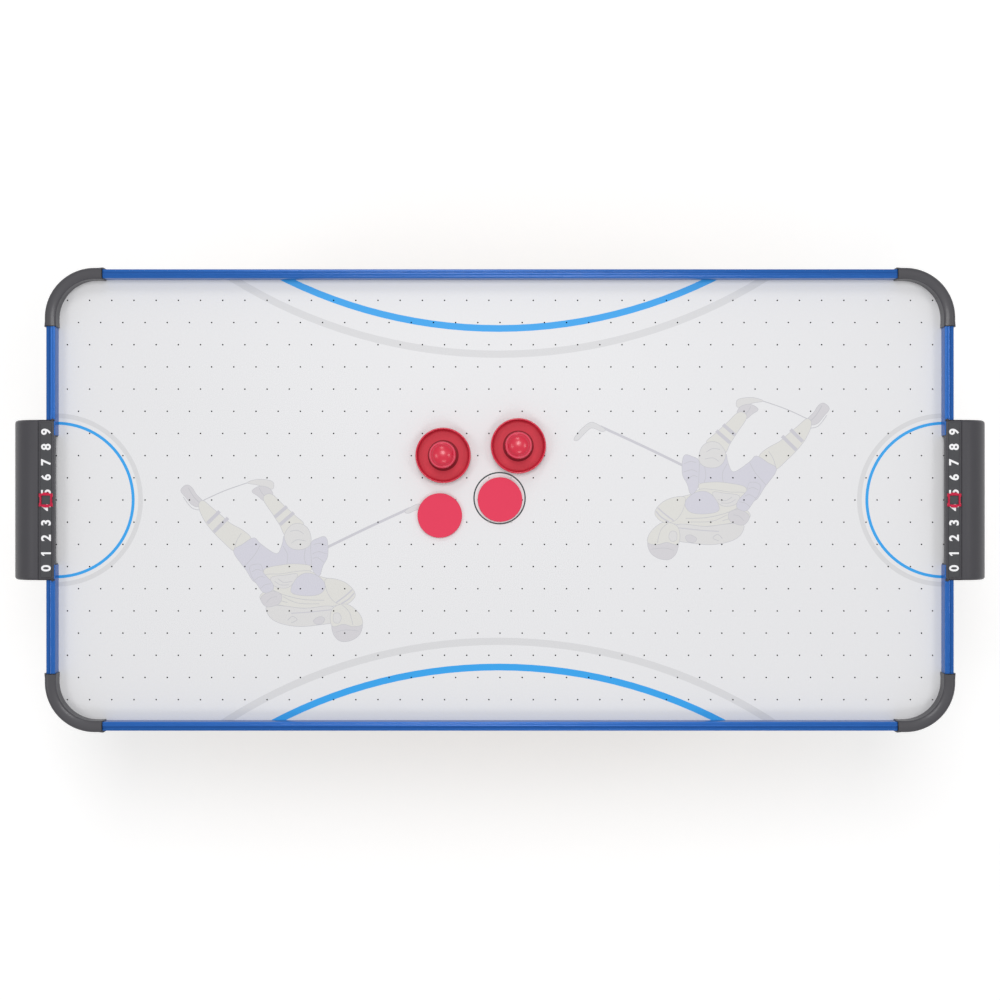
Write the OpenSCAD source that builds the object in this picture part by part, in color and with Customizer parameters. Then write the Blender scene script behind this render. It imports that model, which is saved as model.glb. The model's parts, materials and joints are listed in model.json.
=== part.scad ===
// Air hockey table of the five foot class: a raised, perforated playfield over an air chamber,
// extruded rails with moulded corner caps, a goal with a scorer at each end, a fan underneath,
// four panel legs with levelling feet, and two pucks and two pushers on the playfield.
// +X runs along the table, +Z is up, and the floor under the table's centre is the origin.

/* [Table] */
// Length over the corner caps
table_l = 1524; // [1510:1:1540]
// Width over the corner caps
table_w = 778; // [770:1:790]
// Height of the play surface above the floor
play_z = 762; // [740:1:790]
// Outer radius of the corner caps
cap_r = 84; // [82:1:88]
// How far the corner caps stand out from the rails
cap_proud = 3; // [2:0.5:4]
// How far the corner caps stand into the playfield from the rails
cap_lip = 2; // [1.5:0.5:3]
// Height of the side boards under the rails
apron_h = 140; // [130:1:160]

/* [Rails] */
// Width of a rail
rail_w = 15; // [14:0.5:17]
// Height of a rail's crest above the play surface
rail_h = 26; // [24:1:28]
// Wall of the rail extrusion
rail_wall = 1.6; // [1.2:0.1:2]
// Number of lengthwise grooves in a rail's crown
rail_grooves = 6; // [3:1:7]

/* [Playfield] */
// Thickness of the playfield board
deck_t = 6; // [4:0.5:8]
// Distance between neighbouring air holes in a row, twice their stagger
hole_pitch = 37.4; // [36:0.2:37.6]
// Diameter of an air hole
hole_d = 2; // [1.5:0.1:3]
// Height of the air chamber
plenum_h = 25; // [20:1:30]

/* [Goals] */
// Width of the goal mouth
goal_w = 213; // [200:1:216]
// Height of the goal mouth
goal_h = 14; // [12:1:16]
// Width of the goal box
box_w = 268; // [262:1:272]
// Reach of the goal box from the table's centre
box_x = 822; // [815:1:830]
// Wall of the moulded goal parts
box_wall = 2.5; // [2:0.1:3]
// Distance between neighbouring digits of a scorer
digit_pitch = 25.3; // [24:0.1:26]

/* [Legs] */
// Thickness of a leg's panels
leg_t = 12; // [10:0.5:14]
// Reach of a leg's panel from the corner's arc, under the side board
leg_top_l = 60; // [50:1:70]
// Reach of a leg's panel from the corner's arc, at the foot
leg_foot_l = 18; // [14:1:24]
// Travel of a levelling foot
leveler_travel = 15; // [5:1:15]

/* [Fan] */
// Inner radius of the fan's duct
duct_r = 60; // [56:1:62]
// Radius of the impeller over its blades
impeller_r = 56; // [50:1:57]
// Number of blades
blades = 7; // [5:1:9]

/* [Playing pieces] */
// Diameter of a puck
puck_d = 75; // [70:1:80]
// Thickness of a puck
puck_t = 6; // [5:0.5:8]
// Diameter of a pusher
pusher_d = 93; // [88:1:98]
// Height of a pusher over its felt
pusher_h = 56; // [50:1:60]

/* [Hidden] */
$fn = 64;

gap = 0.2;              // fitting gap between parts that don't move on each other
slip = 0.3;             // gap between parts that slide on each other
fit = 0.05;             // radial clearance of a running fit
over = 1;               // how far a cutter runs past a face

corner_x = table_l / 2 - cap_r;
corner_y = table_w / 2 - cap_r;
rail_x = table_l / 2 - cap_proud;
rail_y = table_w / 2 - cap_proud;
board_t = rail_w - 2 * rail_wall;
board_x = rail_x - rail_wall;
board_y = rail_y - rail_wall;
deck_x = board_x - board_t - gap;
deck_y = board_y - board_t - gap;
deck_r = deck_x - corner_x;

deck_z = play_z - deck_t;
plenum_z = deck_z - plenum_h;
base_t = 4;
base_z = plenum_z - base_t;
batten_w = 20;
rib_t = 12;
rib_pitch = 250;
apron_z = play_z + 18 - apron_h;
apron_end = 12;         // how far a side board runs past the start of a corner's arc
mouth_frame = 2;        // space that the goal mouth's frame takes at each side

edge_h = rail_h - 2;    // height of a rail's long edges
rail_drop = 12;         // reach of a rail's outer skin below the play surface
rail_tuck = 2;          // how far short of the corner's arc a rail ends
rail_edge = 0.8;        // chamfer of a rail's long edges
groove_w = 0.8;
groove_d = 0.4;
sleeve_x = 18;          // length of a corner cap's sleeve over a long rail
sleeve_y = 17;          // length of a corner cap's sleeve over an end rail
cap_edge = 1.5;         // chamfer of a corner cap's top edges

hood_x = deck_x - gap;
hood_deck = play_z + rail_h + 3;
hood_base = play_z - 27;
ridge_z = hood_deck + 3;
ridge_x = 777;
lip_t = 2.8;
tray_z = play_z - 112;
tray_lip = play_z - 78;
tray_r = 22;            // radius under the tray's outer edge
tray_x = board_x + gap;
cheek_x = tray_x + box_wall + gap;
strip_x = board_x;
strip_w = 18;
strip_t = 2;
marker_x = 23;
marker_y = 25;
marker_window = 12.9;

leg_r = deck_r;
leg_in = leg_r - leg_t;
leg_top = base_z - 7;
shoe_z = 12;
shoe_floor = 8;
leg_z = shoe_z + shoe_floor;
shoe_h = 32;
shoe_wall = 2;
boss_r = 13;
boss_at = 26;           // place of a levelling foot from the corner's arc centre, both ways
stud_r = 4;
pad_r = 20;
brace_z = 180;
brace_h = 80;
bolt_r = 3;
bolt_reach = 9;         // how far a bolt goes into the last board
leg_bolt_at = 30;
brace_bolt_at = 15;

fan_z = base_z - 37;
fan_h = 34;
flange_t = 4;
flange_s = 68;          // half the side of the fan's square flanges
fan_screw_at = 58;
hub_r = 23;
motor_r = 20;
shaft_r = 2.5;
fan_screw_r = 2;

switch_x = 520;
switch_z = play_z - 62;
jack_dx = 28;           // from the rocker to the power inlet
plate_t = 2;
pivot_y = -380;
rocker_w = 20;
rocker_rest = 10;       // tilt of the rocker in the off position

screw_r = 1.6;
lead_r = 2.2;
lead_z = base_z - 2.5;
air_film = 0.1;         // height at which pucks and pushers ride over the playfield
felt_t = 2;
puck_places = [[-101.4, -26.1], [0, 0.7]];
pusher_places = [[-95.5, 74.9], [30.8, 90.8]];

corners = [[-1, -1], [1, -1], [-1, 1], [1, 1]];

// ---------- shared shapes ----------

// Puts its children at a corner, with both local axes pointing out of the table.
module at_corner(c) translate([c[0] * corner_x, c[1] * corner_y, 0])
    mirror([c[0] < 0 ? 1 : 0, 0, 0]) mirror([0, c[1] < 0 ? 1 : 0, 0]) children();

// Repeats its children with the two axes of the floor swapped.
module both_ways() for (m = [0, 1]) mirror([m, -m, 0]) children();

// Puts its children at the left end if side is -1, or leaves them at the right end.
module at_end(side) mirror([side < 0 ? 1 : 0, 0, 0]) children();

// Extrudes an outline drawn in X and Z over a width centred on Y.
module across(width) translate([0, width / 2, 0]) rotate([90, 0, 0]) linear_extrude(width) children();

// Rectangle of half sizes x and y with rounded corners of true arcs.
module rounded(x, y, r) {
    square([2 * x, 2 * (y - r)], center = true);
    square([2 * (x - r), 2 * y], center = true);
    for (sx = [-1, 1], sy = [-1, 1]) translate([sx * (x - r), sy * (y - r)]) circle(r);
}

function arc(cx, cy, rx, ry, from, to, n) =
    [for (i = [0:n]) let (a = from + (to - from) * i / n) [cx + rx * cos(a), cy + ry * sin(a)]];

// ---------- playfield and air chamber ----------

// Staggered grid of air holes: even rows have one on the centre line, odd rows have one each side of it.
// Rows that end in the goal mouths have one more hole at each end.
function last_hole(row) = row % 2 != 0 ? 39 : abs(row) * hole_pitch < goal_w / 2 ? 40 : 38;

module air_holes() for (row = [-9:9]) for (i = [-last_hole(row):2:last_hole(row)])
    translate([i * hole_pitch / 2, row * hole_pitch]) circle(d = hole_d);

module playfield() color("whitesmoke") translate([0, 0, deck_z]) linear_extrude(deck_t) difference() {
    union() {
        rounded(deck_x, deck_y, deck_r);
        square([2 * board_x, goal_w + 2 * mouth_frame - gap], center = true);
    }
    air_holes();
}

module case_screw_places() {
    for (x = [-600:300:600], y = [-1, 1]) translate([x, y * (deck_y - batten_w / 2), 0]) children();
    for (y = [-200:200:200], x = [-1, 1]) translate([x * (deck_x - batten_w / 2), y, 0]) children();
}

module plenum_base() color("burlywood") difference() {
    translate([0, 0, base_z]) linear_extrude(base_t) rounded(deck_x, deck_y, deck_r);
    translate([0, 0, base_z - over]) cylinder(r = duct_r - 2, h = base_t + 2 * over);
    case_screw_places() translate([0, 0, base_z - over]) cylinder(r = screw_r + fit, h = base_t + 2 * over);
    fan_screw_holes();
}

module plenum_frame() color("tan") difference() {
    translate([0, 0, plenum_z]) linear_extrude(plenum_h) difference() {
        rounded(deck_x, deck_y, deck_r);
        rounded(deck_x - batten_w, deck_y - batten_w, deck_r - batten_w);
    }
    case_screw_places() translate([0, 0, plenum_z - over]) cylinder(r = screw_r + fit, h = 16 + over);
}

module plenum_ribs() color("tan") for (x = [-2, -1, 1, 2]) translate([x * rib_pitch, 0, plenum_z])
    rotate([90, 0, 90]) translate([0, 0, -rib_t / 2]) linear_extrude(rib_t) difference() {
        translate([gap - deck_y + batten_w, 0]) square([2 * (deck_y - batten_w - gap), plenum_h]);
        for (y = [-3:3]) translate([y * 95 - 30, 6]) square([60, 13]);
    }

// ---------- side boards and corners ----------

module leg_bolt_places() both_ways() for (z = [apron_z + 25, leg_top - 20])
    translate([-leg_bolt_at, leg_in, z]) rotate([-90, 0, 0]) children();

module leg_bolt_holes(r) for (c = corners) at_corner(c) leg_bolt_places() translate([0, 0, -over])
    cylinder(r = r, h = over + leg_t + gap + bolt_reach + 0.5);

module long_apron(side) color("dimgray") difference() {
    translate([-corner_x - apron_end, side > 0 ? board_y - board_t : -board_y, apron_z])
        cube([2 * (corner_x + apron_end), board_t, apron_h]);
    leg_bolt_holes(bolt_r + fit);
    if (side < 0) translate([switch_x - 17, -board_y - over, switch_z - 15])
        cube([jack_dx + 30, board_t + 2 * over, 30]);
}

module end_apron(side) color("dimgray") difference() {
    at_end(side) translate([board_x - board_t, -corner_y - apron_end, apron_z])
        cube([board_t, 2 * (corner_y + apron_end), apron_h]);
    at_end(side) translate([board_x - board_t - over, -goal_w / 2 - mouth_frame, deck_z - gap])
        cube([board_t + 2 * over, goal_w + 2 * mouth_frame, apron_h]);
    leg_bolt_holes(bolt_r + fit);
    at_end(side) tray_screw_places() cylinder(r = screw_r + fit, h = 10);
}

module corner_blocks() color("tan") for (c = corners) at_corner(c) translate([0, 0, apron_z + 2])
    linear_extrude(apron_h - 4) intersection() {
        difference() {
            circle(cap_r - cap_proud - gap);
            circle(deck_r + 2 * gap);
        }
        translate([apron_end + gap, apron_end + gap]) square(cap_r);
    }

cap_in = cap_r - cap_proud - rail_w - cap_lip;
cap_top = play_z + rail_h + 2;

// Section of a corner cap: a wall at the playfield, a top over the rail, and a skirt over the side boards.
module cap_section() polygon([[cap_in, play_z], [cap_in, cap_top - cap_edge], [cap_in + cap_edge, cap_top],
    [cap_r - cap_edge, cap_top], [cap_r, cap_top - cap_edge], [cap_r, apron_z],
    [cap_r - cap_proud + 0.1, apron_z], [cap_r - cap_proud + 0.1, cap_top - 1.9],
    [cap_in + cap_lip - 0.1, cap_top - 1.9], [cap_in + cap_lip - 0.1, play_z]]);

module corner_cap(c) color("#4f4c50") at_corner(c) {
    rotate_extrude(angle = 90) cap_section();
    translate([-sleeve_x, 0, 0]) rotate([90, 0, 90]) linear_extrude(sleeve_x) cap_section();
    rotate([90, 0, 0]) linear_extrude(sleeve_y) cap_section();
}

// ---------- rails ----------

function crown(u) = edge_h + (rail_h - edge_h) * (1 - pow(2 * u / rail_w - 1, 2));

// Section of a rail, from its outer face at 0 to its inner face at rail_w, with the play surface at 0.
module rail_section() polygon(concat(
    [[0, -rail_drop], [0, crown(0) - rail_edge]],
    [for (i = [0:rail_grooves - 1], k = [-1:1])
        let (u = rail_w * (i + 0.5) / rail_grooves + k * groove_w / 2) [u, crown(u) - (k == 0 ? groove_d : 0)]],
    [[rail_w, crown(0) - rail_edge], [rail_w, 0], [rail_w - rail_wall, 0],
        [rail_w - rail_wall, edge_h - rail_wall], [rail_wall, edge_h - rail_wall], [rail_wall, -rail_drop]]));

module long_rail(side) color("steelblue") mirror([0, side > 0 ? 1 : 0, 0])
    translate([rail_tuck - corner_x, -rail_y, play_z]) rotate([90, 0, 90])
        linear_extrude(2 * (corner_x - rail_tuck)) rail_section();

module end_rail(c) color("steelblue") mirror([c[0] > 0 ? 1 : 0, 0, 0]) mirror([0, c[1] < 0 ? 1 : 0, 0])
    translate([-rail_x, corner_y - rail_tuck, play_z]) rotate([90, 0, 0])
        linear_extrude(corner_y - rail_tuck - goal_w / 2 - mouth_frame) rail_section();

// ---------- goals and scorers ----------

hood_edge = arc(ridge_x, hood_base, box_x - ridge_x, ridge_z - hood_base, 90, 0, 24);
hood_inside = arc(ridge_x, hood_base, box_x - ridge_x - box_wall, ridge_z - hood_base - box_wall, 0, 90, 24);
hood_under = hood_deck - box_wall - 0.3;

module goal_hood(side) color("#5a575c") at_end(side) {
    across(box_w) polygon(concat(
        [[hood_x, hood_under], [hood_x, hood_deck - 1], [hood_x + 1, hood_deck], [strip_x + marker_x / 2 + 0.9, hood_deck],
            [strip_x + marker_x / 2 + 2.1, ridge_z]],
        hood_edge, hood_inside,
        [[strip_x + marker_x / 2 + 3.6, ridge_z - box_wall], [strip_x + marker_x / 2 + 2.4, hood_under]]));
    for (y = [-1, 1]) translate([0, y * (box_w - box_wall) / 2, 0]) across(box_wall) polygon(concat(
        [[cheek_x, hood_base], [cheek_x, hood_deck - 1], [strip_x + marker_x / 2 + 2.1, hood_deck - 1]],
        hood_edge));
    translate([hood_x, -goal_w / 2 - mouth_frame + gap, play_z + goal_h])
        cube([lip_t, goal_w + 2 * (mouth_frame - gap), hood_deck - 1 - play_z - goal_h]);
    for (y = [-1, 1]) translate([hood_x, y > 0 ? goal_w / 2 : -goal_w / 2 - mouth_frame + gap, play_z + 0.1])
        cube([rail_x - hood_x + 2, mouth_frame - gap, hood_deck - 1 - play_z]);
}

module tray_screw_places() for (y = [-105, -40, 40, 105])
    translate([tray_x + box_wall, y, tray_z + 60]) rotate([0, -90, 0]) children();

tray_outline = concat([[tray_x, tray_z]], arc(box_x - tray_r, tray_z + tray_r, tray_r, tray_r, -90, 0, 8));
tray_inside = arc(box_x - tray_r, tray_z + tray_r, tray_r - box_wall, tray_r - box_wall, 0, -90, 8);

module goal_tray(side) color("#545156") at_end(side) difference() {
    union() {
        across(box_w) polygon(concat(tray_outline, [[box_x, tray_lip], [box_x - box_wall, tray_lip]], tray_inside,
            [[tray_x, tray_z + box_wall]]));
        for (y = [-1, 1]) translate([0, y * (box_w - box_wall) / 2, 0]) across(box_wall)
            polygon(concat(tray_outline, [[box_x, hood_base - gap], [tray_x, hood_base - gap]]));
        translate([tray_x, -box_w / 2 + 0.1, tray_z + 0.1]) cube([box_wall, box_w - 0.2, play_z - rail_drop - gap - tray_z]);
        for (y = [-1, 1]) translate([775, y > 0 ? box_w / 2 - box_wall - 2.7 : 2.7 + box_wall - box_w / 2 - 2.5, 0]) {
            translate([0, 0, hood_base - 20]) cube([30, 2.5, 36]);
            translate([0, y > 0 ? 1 : -1, hood_base - 20]) cube([30, 2.5, 16]);
        }
    }
    tray_screw_places() translate([0, 0, -over]) cylinder(r = screw_r + fit, h = box_wall + 2 * over);
}

module score_strip(side) color("#454348") at_end(side) translate([strip_x, 0, hood_deck])
    across(9 * digit_pitch + marker_y + 5) polygon([[-7.5, 0], [-7.5, 1], [-strip_w / 2, 1], [-strip_w / 2, strip_t],
        [strip_w / 2, strip_t], [strip_w / 2, 1], [7.5, 1], [7.5, 0]]);

module score_marker(side) color("crimson") at_end(side) translate([strip_x, 0, hood_deck]) {
    translate([0, 0, strip_t + slip]) linear_extrude(2.3) difference() {
        square([marker_x, marker_y], center = true);
        square(marker_window, center = true);
    }
    across(marker_y) for (s = [0, 1]) mirror([s, 0]) polygon([[marker_x / 2, slip], [marker_x / 2, strip_t + slip + 1],
        [strip_w / 2 + slip, strip_t + slip + 1], [strip_w / 2 + slip, 0.7], [8, 0.7], [8, slip]]);
}

// ---------- legs ----------

// Outline of a leg in its corner: two panels joined by a quarter ring, grown or shrunk by d.
module leg_outline(length, d) difference() {
    union() {
        intersection() {
            circle(leg_r + d);
            translate([-1, -1]) square(leg_r + d + 1);
        }
        translate([-length - d, 0]) square([length + d, leg_r + d]);
        translate([0, -length - d]) square([leg_r + d, length + d]);
    }
    circle(leg_in - d);
    translate([-length - d - 1, -1]) square([length + d + 1, leg_in - d + 1]);
    translate([-1, -length - d - 1]) square([leg_in - d + 1, length + d + 1]);
}

module leg(c) color("#3f4145") at_corner(c) difference() {
    translate([0, 0, leg_z]) linear_extrude(leg_top - leg_z) leg_outline(leg_top_l, 0);
    both_ways() translate([0, leg_r + over, 0]) rotate([90, 0, 0]) linear_extrude(leg_t + 2 * over)
        polygon([[-leg_foot_l, 0], [-leg_foot_l, leg_z], [-leg_top_l, apron_z], [-leg_top_l - over, apron_z],
            [-leg_top_l - over, 0]]);
    leg_bolt_places() translate([0, 0, -over]) cylinder(r = bolt_r + gap, h = leg_t + 2 * over);
    brace_bolt_places() cylinder(r = bolt_r + fit, h = leg_t + gap + bolt_reach + 0.5);
}

module shoe(c) color("#26272a") at_corner(c) difference() {
    union() {
        translate([0, 0, shoe_z]) linear_extrude(shoe_floor - gap) {
            leg_outline(leg_foot_l + 2, shoe_wall + gap);
            intersection() {
                circle(leg_r);
                square(leg_r);
            }
        }
        translate([0, 0, shoe_z]) linear_extrude(shoe_h) difference() {
            leg_outline(leg_foot_l + 2, shoe_wall + gap);
            leg_outline(leg_foot_l + 2, gap);
        }
        translate([boss_at, boss_at, shoe_z]) cylinder(r = boss_r, h = shoe_h);
    }
    translate([boss_at, boss_at, shoe_z - over]) cylinder(r = stud_r + fit, h = shoe_h + 2 * over);
}

module leveler(c) color("#8d9094") at_corner(c) translate([boss_at, boss_at, 0]) {
    rotate_extrude() polygon([[0, 0], [pad_r - 1, 0], [pad_r, 1], [pad_r, 4], [pad_r - 4, 6], [stud_r + 3, 8],
        [0, 8]]);
    translate([0, 0, 7]) cylinder(r = stud_r, h = shoe_z + shoe_h + leveler_travel - 6);
    translate([0, 0, 8]) cylinder(r = 7.5, h = shoe_z - 8 - slip, $fn = 6);
}

module brace_bolt_places() for (z = [brace_z + 20, brace_z + brace_h - 20])
    translate([leg_in - gap - leg_t, -brace_bolt_at, z]) rotate([0, 90, 0]) children();

module end_brace(side) color("#3f4145") difference() {
    at_end(side) translate([corner_x + leg_in - gap - leg_t, -corner_y + 5, brace_z])
        cube([leg_t, 2 * corner_y - 10, brace_h]);
    for (c = corners) at_corner(c) brace_bolt_places() translate([0, 0, -over])
        cylinder(r = bolt_r + gap, h = leg_t + 2 * over);
}

// Bolt with a domed head, whose seat is at 0 and whose shank points up.
module bolt(length) {
    rotate_extrude() polygon(concat([[0, 0]], [[7.5, 0]], arc(0, 0, 7.5, 4, -10, -90, 5)));
    cylinder(r = bolt_r, h = length);
}

module leg_bolts() color("#8d9094") for (c = corners) at_corner(c) {
    leg_bolt_places() bolt(leg_t + gap + bolt_reach);
    brace_bolt_places() bolt(leg_t + gap + bolt_reach);
}

// Flat headed wood screw, whose seat is at 0 and whose shank points up.
module screw(length) {
    translate([0, 0, -2]) cylinder(r = 3.4, h = 2);
    translate([0, 0, -0.1]) cylinder(r = screw_r, h = length);
}

module case_screws() color("#8d9094") {
    case_screw_places() translate([0, 0, base_z]) screw(base_t + 14);
    for (side = [-1, 1]) at_end(side) tray_screw_places() screw(box_wall + gap + 7);
}

// ---------- fan ----------

module fan_corners() for (x = [-1, 1], y = [-1, 1]) translate([x * fan_screw_at, y * fan_screw_at, 0]) children();

module fan_screw_holes() fan_corners() translate([0, 0, fan_z - over]) cylinder(r = fan_screw_r + gap, h = 60);

module fan_housing() color("#2b2c2f") difference() {
    union() {
        for (z = [fan_z, fan_z + fan_h - flange_t]) translate([0, 0, z]) linear_extrude(flange_t)
            rounded(flange_s, flange_s, 8);
        translate([0, 0, fan_z]) cylinder(r = duct_r + 3.5, h = fan_h);
    }
    difference() {
        translate([0, 0, fan_z - over]) cylinder(r = duct_r, h = fan_h + 2 * over);
        translate([0, 0, fan_z]) cylinder(r = motor_r, h = flange_t);
        for (i = [0:2]) rotate([0, 0, 30 + 120 * i]) translate([motor_r - 5, -4, fan_z])
            cube([duct_r - motor_r + 8, 8, flange_t]);
    }
    fan_screw_holes();
}

module fan_motor() color("#9a9da1") translate([0, 0, fan_z + flange_t]) {
    cylinder(r = motor_r, h = 14);
    cylinder(r = shaft_r, h = 25);
}

module fan_impeller() color("#232427") {
    difference() {
        translate([0, 0, fan_z + 6]) cylinder(r = hub_r, h = 24);
        translate([0, 0, fan_z + 5]) cylinder(r = hub_r - 2, h = 17);
        translate([0, 0, fan_z]) cylinder(r = shaft_r + fit, h = fan_h);
    }
    intersection() {
        for (i = [0:blades - 1]) rotate([0, 0, 360 * i / blades]) translate([10, 0, fan_z + 18])
            rotate([35, 0, 0]) translate([0, -13, -1.1]) cube([impeller_r, 26, 2.2]);
        translate([0, 0, fan_z]) difference() {
            cylinder(r = impeller_r, h = fan_h);
            translate([0, 0, -over]) cylinder(r = hub_r - 0.8, h = fan_h + 2 * over);
        }
    }
}

module fan_guard() color("#b5b7ba") translate([0, 0, fan_z - 2.9]) {
    for (r = [16:12:52]) rotate_extrude() translate([r, 0]) circle(1.1);
    for (a = [45, 135]) rotate([0, 0, a]) translate([0, 0, 1.3]) rotate([0, 90, 0])
        cylinder(r = 1.2, h = 2 * (fan_screw_at * sqrt(2) - 4), center = true);
    fan_corners() difference() {
        translate([0, 0, 0.3]) cylinder(r = 5.5, h = 2.2);
        translate([0, 0, -over]) cylinder(r = fan_screw_r + gap, h = 6);
    }
}

module fan_gasket() color("#3a3a3c") difference() {
    translate([0, 0, fan_z + fan_h]) linear_extrude(base_z - fan_z - fan_h) difference() {
        rounded(flange_s, flange_s, 8);
        circle(duct_r);
    }
    fan_screw_holes();
}

module fan_screws() color("#b5b7ba") fan_corners() {
    translate([0, 0, fan_z - 5.8]) cylinder(r = 4.2, h = 3);
    translate([0, 0, fan_z - 3]) cylinder(r = fan_screw_r, h = base_z - fan_z + 6);
}

// ---------- switch, inlet and lead ----------

// Puts its children at the rocker's pivot, with X along the table and Y pointing out of the side board.
module at_switch() translate([switch_x, pivot_y, switch_z]) rotate([0, 0, 180]) children();

plate_out = board_y + pivot_y + plate_t;
socket_x = rocker_w / 2 + 0.4;
socket_back = -10;

module switch_plate() color("#1f2022") at_switch() difference() {
    union() {
        translate([-jack_dx - 18, plate_out - plate_t, -20]) cube([jack_dx + 38, plate_t, 40]);
        translate([-socket_x - 2, socket_back, -11.4])
            cube([2 * socket_x + 4, plate_out - plate_t - socket_back + 0.1, 22.8]);
    }
    translate([-socket_x, socket_back + 2, -9.3]) cube([2 * socket_x, 30, 18.6]);
    rotate([0, 90, 0]) cylinder(r = 1.5 + fit, h = 60, center = true);
    translate([-jack_dx, 0, 0]) rotate([-90, 0, 0]) cylinder(r = 5.6, h = 30);
}

module power_rocker() color("#35363a") at_switch() rotate([-rocker_rest, 0, 0]) {
    rotate([90, 0, 90]) translate([0, 0, -rocker_w / 2]) linear_extrude(rocker_w)
        polygon([[7.4, -7.6], [5.6, 0], [7.4, 7.6], [0, 6], [-4, 3], [-4, -3], [0, -6]]);
    rotate([0, 90, 0]) cylinder(r = 1.5, h = 2 * socket_x + 3, center = true);
}

module power_inlet() color("#2b2c2f") at_switch() translate([-jack_dx, 0, 0]) rotate([-90, 0, 0]) difference() {
    union() {
        translate([0, 0, plate_out]) cylinder(r = 7.5, h = 1.2);
        translate([0, 0, plate_out - 18]) cylinder(r = 5.5, h = 18.5);
    }
    difference() {
        translate([0, 0, plate_out - 9]) cylinder(r = 2.8, h = 20);
        translate([0, 0, plate_out - 10]) cylinder(r = 1, h = 10);
    }
}

// Route of the fan's lead, from the back of the switch to the fan's duct, under the base board.
lead_route = [[switch_x, -369.8, switch_z + 4], [switch_x, -360, switch_z + 4], [switch_x, -350, switch_z + 7],
    [514, -338, switch_z + 18], [498, -326, lead_z - 1], [470, -320, lead_z], [430, -320, lead_z],
    [300, -320, lead_z], [190, -320, lead_z], [90, -320, lead_z], [60, -320, lead_z], [25, -313, lead_z],
    [4, -290, lead_z], [0, -262, lead_z], [0, -240, lead_z], [0, -180, lead_z], [0, -140, lead_z],
    [0, -118, lead_z], [0, -106, lead_z - 2.5], [0, -92, lead_z - 8],
    [0, -80, lead_z - 11.5], [0, -72, lead_z - 12.5], [0, -63.9, lead_z - 12.5]];

function route_point(i) = lead_route[max(0, min(len(lead_route) - 1, i))];
function spline(a, b, c, d, t) = 0.5 * (2 * b + (c - a) * t + (2 * a - 5 * b + 4 * c - d) * t * t
    + (3 * b - a - 3 * c + d) * t * t * t);
lead_steps = 3;
lead_path = [for (i = [0:len(lead_route) - 2], k = [0:lead_steps - 1])
    spline(route_point(i - 1), route_point(i), route_point(i + 1), route_point(i + 2), k / lead_steps),
    lead_route[len(lead_route) - 1]];
function unit(v) = v / norm(v);
function along(p, i) = unit(p[min(len(p) - 1, i + 1)] - p[max(0, i - 1)]);
// The lead never runs straight up, so the sideways direction is always level.
function aside(d) = unit(cross(d, [0, 0, 1]));

// Sweeps an eight sided tube along a path.
module tube(path, r) {
    rings = [for (i = [0:len(path) - 1]) let (d = along(path, i), s = aside(d), u = cross(s, d))
        for (k = [0:7]) path[i] + r * (cos(45 * k) * s + sin(45 * k) * u)];
    last = 8 * (len(path) - 1);
    polyhedron(rings, concat([[for (k = [0:7]) k]], [[for (k = [7:-1:0]) last + k]],
        [for (i = [0:len(path) - 2], k = [0:7])
            [8 * i + k, 8 * i + 8 + k, 8 * i + 8 + (k + 1) % 8, 8 * i + (k + 1) % 8]]));
}

module fan_lead() color("#18181a") tube(lead_path, lead_r);

// Saddle clip over a lead that runs along X, under the base board.
module clip() rotate([90, 0, 90]) translate([0, 0, -4]) linear_extrude(8) {
    difference() {
        circle(lead_r + 1.6);
        circle(lead_r + slip);
        translate([-lead_r - 2, 0]) square([2 * lead_r + 4, 10]);
    }
    for (x = [-lead_r - 1.6, lead_r + slip]) translate([x, 0]) square([1.6 - slip, base_z - lead_z]);
    translate([lead_r + 0.5, base_z - lead_z - 1.2]) square([9, 1.2]);
}

module lead_clips() color("#d8d8d4") {
    for (x = [390, 265, 140]) translate([x, -320, lead_z]) clip();
    for (y = [-225, -150]) translate([0, y, lead_z]) rotate([0, 0, 90]) clip();
}

// ---------- playing pieces ----------

module puck(i) color("crimson") translate([puck_places[i][0], puck_places[i][1], play_z + air_film])
    rotate_extrude() polygon(concat([[0, 0], [puck_d / 2 - 1, 0]], arc(puck_d / 2 - 1, 1, 1, 1, -90, 0, 4),
        arc(puck_d / 2 - 1, puck_t - 1, 1, 1, 0, 90, 4), [[0, puck_t]]));

pusher_rim = 16;        // height of a pusher's rim
rim_t = 3;
floor_t = 3.5;
neck_r = 18;
knob_r = 22.5;

// Knob's outline from the floor up: a neck that widens into a domed head.
knob_side = concat(arc(neck_r + 6, floor_t + 6, 6, 6, 270, 180, 6), [[neck_r, pusher_h * 0.45]],
    arc(knob_r - 7, pusher_h - 12, 7, 7, -25, 45, 6), arc(0, pusher_h - 40, 30, 40, 45, 90, 6));

module pusher(i) color("crimson") translate([pusher_places[i][0], pusher_places[i][1], play_z + air_film + felt_t])
    rotate_extrude() difference() {
        polygon(concat([[0, 0], [pusher_d / 2, 0]],
            arc((pusher_d - rim_t) / 2, pusher_rim - rim_t / 2, rim_t / 2, rim_t / 2, 0, 180, 8),
            [[pusher_d / 2 - rim_t - 1, floor_t]], knob_side));
        translate([-1, -1]) square([neck_r - 1.5, pusher_h - 8]);
    }

module pusher_felt(i) color("gainsboro") translate([pusher_places[i][0], pusher_places[i][1], play_z + air_film])
    linear_extrude(felt_t) difference() {
        circle(pusher_d / 2 - 1);
        circle(pusher_d / 2 - 12);
    }

// ---------- the table ----------

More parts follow.
